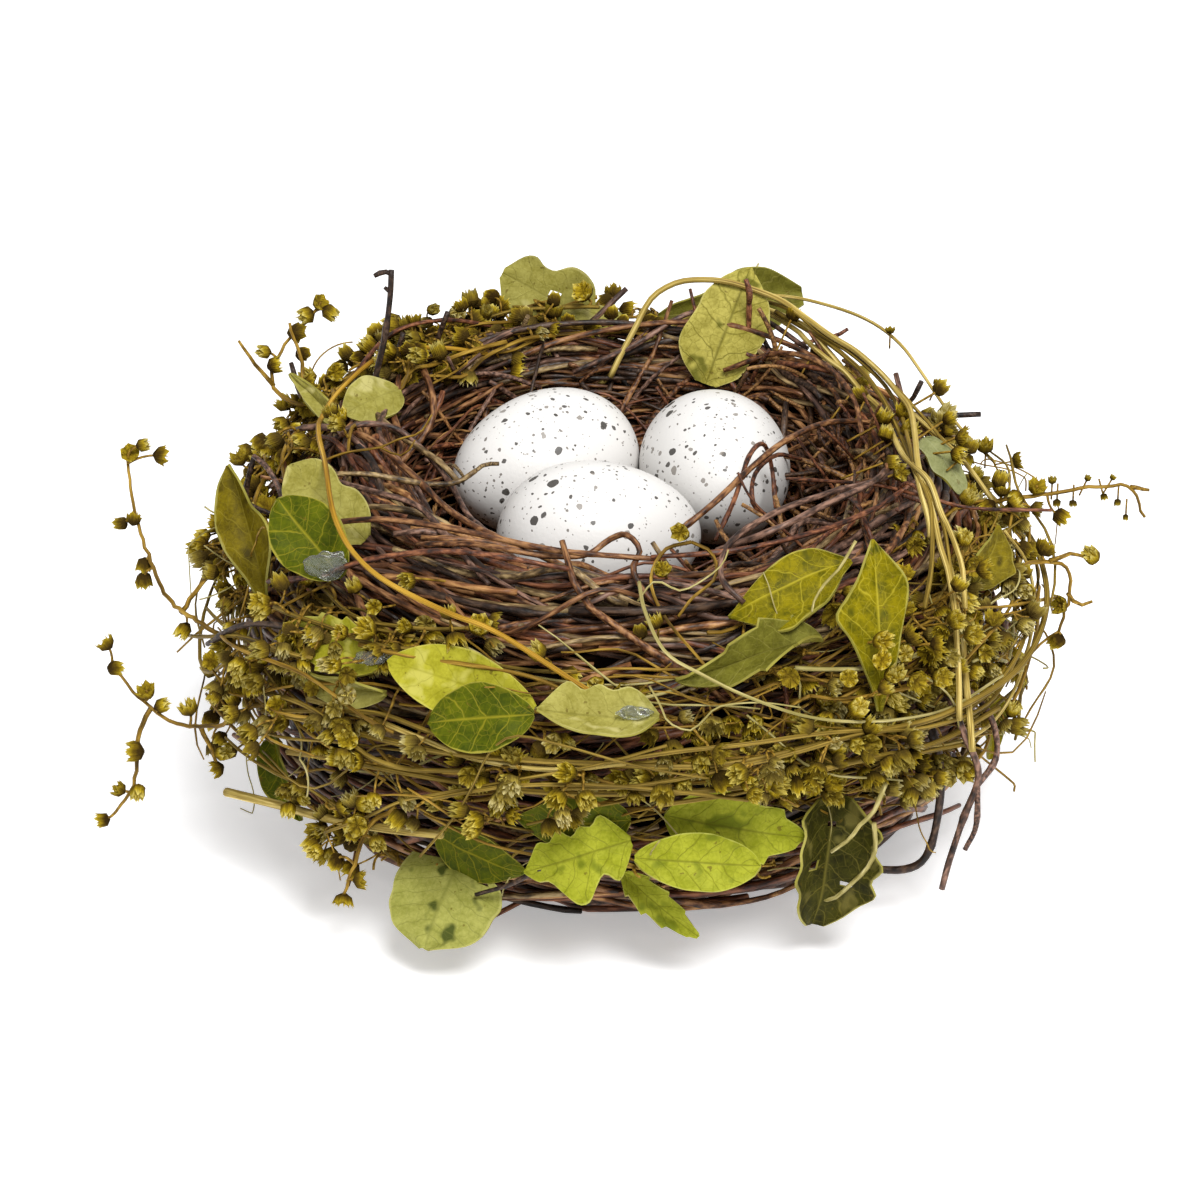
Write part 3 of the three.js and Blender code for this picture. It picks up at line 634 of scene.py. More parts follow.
def curlPath(rng, start, heading, length, curl, step=0.9):
    # a stem that turns steadily, now one way and now another
    count = max(5, int(length / step))
    heading = unit(heading)
    axis = rng.normal(size=3)
    point, path = np.array(start, float), []
    for i in range(count):
        path.append(point.copy())
        axis = axis + 0.35 * rng.normal(size=3)
        axis /= np.linalg.norm(axis)
        heading = heading + curl * step * np.cross(axis, heading)
        heading /= np.linalg.norm(heading)
        point = point + step * heading
    return np.array(path)


brokenBits = {"count": 150, "around": (-62, 75), "share": (1.06, 1.55), "length": (5, 20),
    "radius": (0.26, 0.52)}
stems = []
for _ in range(brokenBits["count"]):
    degrees = rng.uniform(*brokenBits["around"])
    share = rng.uniform(*brokenBits["share"])
    base = wallPoints(degrees, share, rng.uniform(-0.5, 1.2))
    outward = wallPoints(degrees, share, 3) - wallPoints(degrees, share, 0)
    heading = (outward * rng.uniform(0.05, 0.4) + roundTheNest(degrees) * rng.normal(0, 1.6)
               + np.array([0, 0, rng.normal(0, 0.8)]))
    path = curlPath(rng, base, heading, rng.uniform(*brokenBits["length"]), 0.09)
    radii = rng.uniform(*brokenBits["radius"]) * np.linspace(1, 0.8, len(path))
    stems.append((path, radii, int(rng.integers(0, len(rootFinishes)))))
finishPiece(stemPiece("brokenRootlets", stems, rootFinishes), "rootlet")
print("nest: cup lined")

# bare twigs that stand out from the weave: solids, finish number, then radius and corners of each run
bareTwigs = {
    "uprightTwig": (["twig_upright"], 4, [(0.5, [(-41, 13, 52), (-41, 15, 58), (-40, 17, 63.5),
        (-38.2, 18.5, 71), (-37.3, 20, 77), (-37, 21, 81.6)]), (0.42, [(-36.9, 21, 80.8), (-38.2, 21, 81.3),
        (-39.8, 20.6, 80.7)]), (0.34, [(-37.2, 20.4, 78), (-38.1, 20.2, 78.9)])]),
    "knottedTwig": (["twig_knotted"], 2, [(0.56, [(45, -44, 45), (48, -46.5, 40), (51, -47.5, 33),
        (53.5, -47.5, 26), (51.5, -48, 19), (49.6, -48.5, 12), (48.6, -48.6, 7)]), (0.44, [(53.4, -47.5, 25),
        (53.4, -48.5, 18), (51.8, -49, 14)]), (0.48, [(53.3, -47.5, 24), (56.5, -44, 27.5), (55.4, -41, 33),
        (51, -38, 37)])]),
    "droopingTwig": (["twig_drooping"], 4, [(0.62, [(44, -43, 37), (47.5, -46, 29), (48, -46.5, 22),
        (46.5, -47.5, 13), (43, -47.5, 9.8), (35.5, -46, 9.5), (30, -42, 9)])]),
    "twigOverEgg": (["twig_over_egg"], 3, [(0.46, [(-52, -10, 57), (-45.5, -13, 60.3), (-39, -13.5, 60.6),
        (-31, -13, 58.9), (-26, -12, 58.6), (-22.8, -11, 60.2)]), (0.36, [(-23.8, -11.4, 59.4),
        (-21.6, -10.4, 60.9), (-19.2, -10.6, 61.2)]), (0.3, [(-24.6, -11.6, 59.3), (-26, -11, 61),
        (-27, -10.4, 61)])]),
    "redRightTwig": (["twig_red_right"], 1, [(0.3, [(26, -2, 55), (33, -9, 57.5), (39, -15, 59.5),
        (45.5, -22, 60.8), (53, -25, 60), (65, -27, 60.5)]), (0.3, [(46, -22, 60.9), (43.5, -21, 62.5),
        (42.5, -19, 60), (46, -17, 57.5)])]),
    "curledBackTwig": (["twig_back_curl"], 1, [(0.44, [(20.6, 37.4, 74), (21, 37, 72.4), (21.2, 37, 69.5),
        (21.5, 37, 63.5), (24, 36, 61.8), (24.8, 35, 58.4), (24, 34, 56.8), (20, 33, 57.2)]), (0.5,
        [(21, 37, 73), (21.3, 36.8, 71.4), (21.2, 36.8, 70)])]),
}
rng = np.random.default_rng(seeds["twigs"])
for name, (nodes, tone, runs) in bareTwigs.items():
    stems = []
    for radius, corners in runs:
        path = smoothPath(corners, 1.0)
        travel = np.linspace(0, len(path), len(path))
        stems.append((path, vineRadii(rng, travel, radius, 0.9), tone))
    finishPiece(stemPiece(name, stems, barks, sides=8), "dark_twig", *nodes)

# more twigs that leave the weave: finish number, radius and corners
strayTwigs = [
    (4, 0.49, [(-64, -27, 38), (-58, -33, 44), (-52, -38, 46.4), (-44, -44.5, 47.5), (-36, -50, 47)]),
    (4, 0.42, [(-57, -13, 63.5), (-58.5, -13.5, 57), (-56.5, -15, 55.5), (-50, -17, 54)]),
    (2, 0.42, [(-57, -14, 64), (-54.5, -16, 62.5), (-52, -19.5, 58.5), (-50.5, -25, 52.5)]),
    (4, 0.49, [(-54, 25, 64), (-52, 21, 59.5), (-48, 18, 58)]),
    (4, 0.52, [(40, 22, 58), (46, 20.6, 57), (50.5, 20, 56.7), (58.6, 20, 57)]),
    (4, 0.42, [(44, 27, 54), (46.4, 26, 56), (47.7, 25, 57.5), (49.2, 25, 60.8)]),
    (1, 0.37, [(28, 40, 61), (32, 40, 62), (35.8, 40, 62.9), (37.9, 40, 64.2)]),
    (3, 0.46, [(-15, 43, 60), (-16.5, 41.5, 63), (-15.5, 40, 66.5)]),
    (4, 0.52, [(-35, 35, 52), (-33, 36, 58.1), (-30.9, 36, 62.9), (-28.7, 36, 68.7)]),
    (4, 0.52, [(-38.4, 33, 51), (-37.6, 33, 56), (-37.2, 33, 60.6), (-36, 33, 66.2)]),
    (1, 0.37, [(-44, 24, 62), (-38, 33, 66), (-30, 38, 66.5), (-22, 42, 64), (-14, 44, 61)]),
    (0, 0.46, [(-31, -34, 58), (-22, -39, 60.2), (-13, -41, 59.5), (-6, -39.5, 58.6), (-2, -37.5, 60.4),
        (0.5, -39.5, 62), (2.4, -42, 60.6), (1.4, -44.5, 58.4), (4, -48, 55.4), (8, -50, 53.4)]),
    (2, 0.52, [(14, -34, 57), (22, -36, 61), (31, -30, 63), (38, -20, 62), (42, -8, 60.5), (41, 4, 58.6)]),
    (2, 0.49, [(47, -7, 61), (40, -16, 61), (31, -25, 62.4), (22, -34, 62.8), (15.5, -42, 61.5),
        (14.4, -47.5, 58.6), (17.6, -50.5, 56)]),
    (0, 0.49, [(8, -29, 57.5), (14, -25, 61), (20, -17, 63.5), (26, -8, 64.4), (33, 2, 63), (42, 8, 60.4)]),
    (1, 0.38, [(14, -28, 56), (17, -22, 60), (19.5, -13, 63.4), (22, -6, 62.6), (23.5, -4.5, 58),
        (24, -9, 53)]),
    (1, 0.37, [(22, -17, 55), (20, -18, 58), (20.5, -14, 61), (24, -9, 62), (28, -6, 60)]),
    (0, 0.46, [(17, 33, 59.5), (26, 31, 63.4), (33, 22, 64.8), (37, 11, 63.6), (38, 2, 61)]),
    (2, 0.49, [(-47, -2, 60), (-42, 2, 62.5), (-35, 3, 61), (-28, -3, 56), (-24, -13, 53.5), (-20, -22, 54)]),
    (0, 0.52, [(-46, 5, 60.5), (-40, -1, 61.5), (-33, -10, 59.4), (-26, -21, 57.4), (-17, -31, 57),
        (-6, -37, 57.8)]),
    (3, 0.54, [(-30, 36, 61.5), (-36, 28, 61.5), (-41, 17, 61.4), (-37, 6, 60.5), (-29, -2, 58),
        (-26, -5, 56)]),
    (2, 0.52, [(-24, 34, 59), (-32, 26, 60.5), (-37, 15, 61), (-38.5, 3, 60.6), (-33, -7, 57), (-29, -17, 54)]),
    (2, 0.49, [(-46, -16, 61), (-38, -22, 61.4), (-31, -26, 60.6), (-26, -33, 58), (-20, -42, 55)]),
    (0, 0.49, [(-54, -24, 55), (-46, -29, 59), (-36, -33, 61.6), (-24, -38, 62), (-10, -42, 60.6),
        (6, -44, 60)]),
    (1, 0.46, [(-54, -30, 50), (-47, -37, 54), (-36, -41, 59), (-24, -43, 60.8), (-8, -46, 59.4)]),
    (1, 0.42, [(4, -44, 60.4), (16, -43, 61), (28, -37.5, 61.4), (38, -28, 61.2), (45, -16, 60.6)]),
    (4, 0.49, [(-33, 32, 60), (-20, 39, 63.6), (-5, 42, 64.6), (10, 41, 63.6), (22, 37, 61.5)]),
    (0, 0.49, [(-22, 36, 58.5), (-9, 40, 62.4), (6, 40.5, 65), (18, 38, 65.6), (29, 33, 63.5), (37, 25, 61)]),
    (2, 0.49, [(-8, 36, 58), (2, 38, 62), (12, 42, 66.4), (22, 42, 66), (31, 35, 62.6)]),
    (1, 0.38, [(23.5, -56, 46), (23.8, -58.5, 41), (22.2, -60, 37), (19, -61.5, 33)]),
    (4, 0.37, [(-11, -60, 27), (-9.5, -61.5, 24), (-10.5, -63, 20.5), (-16, -63.5, 16.5), (-22, -62, 13.5)]),
]
stems = []
for tone, radius, corners in strayTwigs:
    path = smoothPath(corners, 1.2)
    travel = np.linspace(0, 1.2 * len(path), len(path))
    stems.append((path, vineRadii(rng, travel, radius, 0.85), tone))
finishPiece(stemPiece("strayTwigs", stems, barks, sides=8), "twig")
print("nest: bare twigs placed")

# straws, which are ribbed dry stems: solids, finish, radius and corners
straws = {
    "leftArchStraw": (["straw_left_arch"], strawYellow, 0.42, [(-22, 34, 62), (-30, 31, 64.6), (-38, 26, 65.4),
        (-45.2, 12, 64.5), (-47.5, 0, 64.5), (-47.2, -8, 65.1), (-45, -25, 66.9), (-43.8, -34, 65.6),
        (-42.5, -40, 64.1), (-40.3, -45, 62.2), (-36.8, -50, 60.9), (-32, -54, 59.7), (-24.9, -59, 58.3),
        (-18.3, -62, 56.7), (-4, -64.4, 48), (2, -65, 45)]),
    "rightOuterStraw": (["straw_right_outer"], strawFinish, 0.5, [(-1.8, 36, 57), (0.2, 37.4, 61),
        (2, 38.5, 64.2), (4.8, 40, 69.2), (8.1, 41, 71.4), (11.6, 41.5, 72.2), (17.3, 41.5, 72.1),
        (22.6, 40.5, 70.9), (27, 38, 69.7), (30.4, 34.5, 68.2), (34.2, 29, 67.2), (38, 23, 67),
        (40.5, 17, 66.8), (42.1, 12, 66.7), (43.5, 6, 66.7), (45.1, 0, 66.1), (45.3, -9, 65.5),
        (45.2, -17, 64.7), (45.5, -21, 63.7), (46.2, -25, 62.7), (46.7, -30, 61), (47.4, -36, 58.4),
        (48.3, -39.5, 56.3), (48.8, -43.5, 53.7), (49.1, -46.5, 51.3), (49.2, -48.5, 48.2), (49.6, -50.5, 43.1),
        (50, -51, 37)]),
    "rightMiddleStraw": (["straw_right_middle"], strawFinish, 0.46, [(-2, 39, 56.5), (4, 43.4, 60),
        (11.9, 48, 63.8), (20, 48.4, 66), (28.4, 38, 65.3), (30.8, 34, 64.5), (34.2, 27, 63.9),
        (36.6, 22, 63.6), (38.7, 15, 63.1), (41.4, 7, 62.9), (42.4, 0, 62.3), (43.3, -8, 62.6),
        (44.7, -17.5, 63.9), (46, -22, 64.2), (46.9, -24.5, 63.6), (47.4, -28, 62.8), (47.9, -30.5, 61.6),
        (48.9, -33, 60.1), (49.8, -36, 58.4), (50.6, -38.5, 56.3), (50.8, -42, 53.8), (50.9, -44, 52.3)]),
    "rightInnerStraw": (["straw_right_inner"], strawOlive, 0.42, [(25.8, 40, 67.2), (30.4, 35, 66.1),
        (34.2, 28.5, 65.8), (36.6, 24, 65.4), (39.5, 17, 65.1), (41.9, 9, 64.1), (43, 2, 63.4),
        (43.9, -7, 63.2), (44.6, -16.5, 63.8), (45.4, -21, 63.6), (46.4, -26, 62.6), (46.8, -29.5, 61.5),
        (46.4, -36, 58.8), (45.7, -42, 56.4), (44.6, -47, 53.7)]),
    "farArchStraw": (["straw_far_arch"], strawFinish, 0.3, [(14, 49, 62), (22, 50, 66), (29.5, 48.5, 66.6),
        (35.8, 43.5, 66.8), (41.3, 38, 66.2), (46, 32.4, 64.3), (49, 27, 62), (52, 22, 58.7), (55.2, 19, 55),
        (58.8, 16, 52.2), (60.6, 13, 51.4)]),
    "upperBandStraw": (["straw_band_upper"], strawOlive, 0.5, [(-57, -33, 31), (-53, -41, 33.4),
        (-36, -56.5, 36.8), (-19, -65.5, 38.4), (-1, -69, 38.6), (17, -67.5, 38.6), (33, -61, 39.4),
        (47, -52, 38.4), (59, -40, 39.6), (65, -25, 42.4), (65.4, -10, 45.4), (62, 2, 48)]),
    "lowerBandStraw": (["straw_band_lower"], strawOlive, 0.46, [(-51, -42, 27), (-45, -48, 29.2),
        (-32, -58, 31.7), (-16, -66, 33.2), (1, -69, 34.2), (19, -66.5, 34.2), (34, -60, 34.7), (46, -52, 33.4),
        (57, -40, 33.8)]),
    "cutEndStraw": (["straw_cut_end"], strawFinish, 0.72, [(-61.4, -33.6, 15.8), (-53, -40, 17),
        (-45, -47, 18.5), (-36, -54, 20.4), (-27, -59, 22)]),
}
rng = np.random.default_rng(seeds["straws"])
for name, (nodes, finish, radius, corners) in straws.items():
    path = smoothPath(corners, 1.6)
    travel = 1.6 * np.arange(len(path))
    path += np.stack([drift(rng, travel, 0.16, 12) for _ in range(3)], 1)
    finishPiece(stemPiece(name, [(path, radius * np.linspace(1, 0.92, len(path)), 0)], [finish], ribbed=True),
                "straw", *nodes)

# thinner straws that run beside them in the bundle and the band
strawBundle = [
    (0, 0.5, [(-4, 38.5, 54), (0.7, 42, 57), (5.8, 45.5, 60.2), (12.6, 49.4, 63), (20, 48.6, 65.6),
        (29.7, 36.5, 66.4), (33.7, 29.5, 64.5), (37.2, 21, 62.9), (40.2, 12, 62), (42.1, 2, 61.7),
        (43.5, -9, 62.5), (44.9, -19.5, 63.6), (45.4, -25.5, 62.4), (45.9, -31, 60.7), (45.9, -34, 59.2)]),
    (1, 0.36, [(-3, 39, 55.4), (3, 43.6, 59.6), (9, 47.4, 62.6), (18, 47.6, 67), (27.3, 37.4, 69.1),
        (32.7, 31.5, 66.9), (37.6, 24, 66), (41.5, 14, 65.4), (43.2, 8, 64.7), (44.2, 0, 64.2),
        (44.7, -11, 64.4), (45, -19, 63.7), (46.6, -25, 63), (48.3, -31.5, 60.9), (48.9, -38, 57.2),
        (48.9, -44, 53.4)]),
    (1, 0.3, [(42.1, 12, 66.5), (44.3, 8, 65.9), (46.3, 5, 64.7), (48.5, 3, 63), (50.8, 0, 60.8),
        (52.7, -3, 58.3)]),
    (0, 0.4, [(47, 12, 60.4), (55, -2, 56), (61, -9, 50), (63.3, -8, 47.6), (61, -14, 43), (54, -24, 41)]),
    (0, 0.6, [(49, -32, 55), (50.6, -38, 50), (51.2, -43, 44), (51.8, -47, 37), (52.2, -49.4, 31)]),
    (1, 0.4, [(-54.7, -40.4, 33), (-43.4, -50.4, 38.3), (-36, -56, 40.4), (-30, -60, 40.2), (-22, -63.4, 39),
        (-12, -66.4, 38)]),
    (0, 0.46, [(-47, -46, 37.6), (-38, -54.4, 39.4), (-30, -60, 38.8), (-21, -64.6, 37.4), (-10, -67.6, 37.6),
        (0, -69, 39.4)]),
    (1, 0.4, [(-59.5, -30.8, 32), (-48.4, -47, 38), (-42.8, -52.4, 37.3), (-39, -55.5, 34.6),
        (-34.4, -58.6, 33.6), (-28.4, -62, 34.4), (-20, -65.4, 36.4)]),
    (1, 0.36, [(-9, -69, 35.2), (2.3, -70, 36), (13, -69, 37.8), (25.5, -65.4, 39.2), (36, -60, 39.4),
        (45.6, -53.4, 37.4), (55, -43, 36), (61, -32, 39)]),
    (1, 0.36, [(-3, -70, 40), (8, -70, 41.8), (18, -68.6, 42), (30, -63.4, 41), (41, -56, 38.2),
        (52, -46, 36.4), (60, -34, 38.4), (63, -25, 44)]),
    (1, 0.34, [(-29, -64, 30.3), (-18, -68.4, 34.8), (-5, -70.4, 36), (8, -70.4, 35.2), (18, -68.6, 33)]),
    (1, 0.26, [(-44.8, -52.8, 18.6), (-39.2, -57, 23.3), (-32.9, -61.4, 28.7), (-26.9, -64.4, 31.6),
        (-18, -67.4, 35), (-5, -70, 39.4), (6, -70.4, 42.6)]),
    (1, 0.2, [(-30, -63.4, 21), (-25, -66.2, 28.6), (-22, -67.6, 34.6), (-19.4, -68.6, 40.6),
        (-15.7, -69.4, 43.6), (-9.2, -70.6, 42.8), (2.2, -71, 39.4), (12, -70, 37)]),
    (1, 0.36, [(5, -68.6, 32), (18, -66.4, 33.4), (31, -61.4, 34.6), (43, -54, 33), (52, -45.6, 30.6)]),
    (0, 0.3, [(37.9, -56, 35), (46, -50, 32.4), (54.3, -41, 30.4), (61, -29, 32), (64, -20, 38.6),
        (62.6, -18, 47), (58.6, -20, 54)]),
    (1, 0.26, [(57, -36, 42), (62.4, -24, 38), (65, -14, 41), (64, -4, 46), (58, 4, 51)]),
]
stems = []
for tone, radius, corners in strawBundle:
    path = smoothPath(corners, 1.8)
    travel = 1.8 * np.arange(len(path))
    path += np.stack([drift(rng, travel, 0.22, 14) for _ in range(3)], 1)
    stems.append((path, radius * np.linspace(1, 0.88, len(path)), tone))
finishPiece(stemPiece("strawBundle", stems, [strawFinish, strawOlive], ribbed=True), "straw")
print("nest: straws placed")


# leaves
leafThickness = 0.36


def leafPiece(name, spec):
    # a leaf from base to tip: u runs across it from -1 to 1, v along it from 0 to 1
    rows = 44 if spec.get("teeth") else 26
    bpy.ops.object.select_all(action="DESELECT")
    bpy.ops.mesh.primitive_grid_add(x_subdivisions=16, y_subdivisions=rows, size=2, calc_uvs=True)
    piece = nameNew(name)
    base, tip = Vector(spec["base"]), Vector(spec["tip"])
    along = (tip - base).normalized()
    across = along.cross(Vector(spec["facing"])).normalized()
    out = across.cross(along)
    length = (tip - base).length
    teeth, toothDepth = spec.get("teeth", (0, 0))
    seed = sum(ord(letter) for letter in name) % 97
    holes = spec.get("holes", [])
    margins = {}
    for side in ("left", "right"):
        if side in spec:
            corners = [(10 * i / (len(spec[side]) - 1), half, 0) for i, half in enumerate(spec[side])]
            margins[side] = smoothPath(corners, 0.25)
    if holes:
        bpy.ops.object.mode_set(mode="EDIT")
        bpy.ops.mesh.select_all(action="DESELECT")
        bpy.ops.mesh.select_mode(type="FACE")
        bpy.ops.object.mode_set(mode="OBJECT")
        for face in piece.data.polygons:
            spot = face.center
            face.select = any(math.hypot(spot.x - u, (spot.y / 2 + 0.5 - v) * length / spec["width"] * 2) < r
                              for u, v, r in holes)
        bpy.ops.object.mode_set(mode="EDIT")
        bpy.ops.mesh.delete(type="FACE")
        bpy.ops.object.mode_set(mode="OBJECT")
    for vertex in piece.data.vertices:
        u, v = vertex.co.x, vertex.co.y / 2 + 0.5
        bulge = max(math.sin(math.pi * v ** spec.get("widest", 0.8)), 0) ** spec.get("fullness", 0.75)
        half = ((spec["width"] - 0.9) * bulge + 0.9 - 0.6 * v) / 2
        margin = margins.get("right" if u > 0 else "left")
        if margin is not None:
            half = float(np.interp(10 * v, margin[:, 0], margin[:, 1]))
        if teeth:
            saw = (v * teeth + 0.3 * (u > 0)) % 1
            half *= 1 + toothDepth * (saw ** 2 - 0.3) * (0.4 + 0.6 * abs(u))
        half *= 1 + 0.05 * noise.noise((v * 5, seed + (3 if u > 0 else 0), 0))
        x = u * half
        rise = spec.get("arch", 1) * 4 * v * (1 - v) + spec.get("fold", 0.1) * abs(x)
        rise += spec.get("curl", 0) * abs(u) ** 3 * half * 0.5
        rise += (0.5 * noise.noise((u * 1.6 + seed, v * 3.2, 1))
                 + 0.22 * u * u * math.sin(v * 13 + seed + 2 * (u > 0)))
        turn = spec.get("twist", 0) * (v - 0.4)
        sideways = x * math.cos(turn) - rise * math.sin(turn)
        outwards = rise * math.cos(turn) + x * math.sin(turn)
        vertex.co = (base + along * length * v + across * sideways + out * outwards) * mm
    selectOnly(piece)
    under = leafLooks["pale"] if spec["look"] == "pale" else leafUnder
    for finish in (leafLooks[spec["look"]], under, marginFinish):
        piece.data.materials.append(finish)
    solid = piece.modifiers.new("thickness", "SOLIDIFY")
    solid.thickness = leafThickness * mm
    solid.offset = 0
    solid.use_even_offset = True
    solid.material_offset = 1
    solid.material_offset_rim = 2
    bpy.ops.object.modifier_apply(modifier="thickness")
    bpy.ops.object.shade_smooth_by_angle(angle=math.radians(50))
    return piece


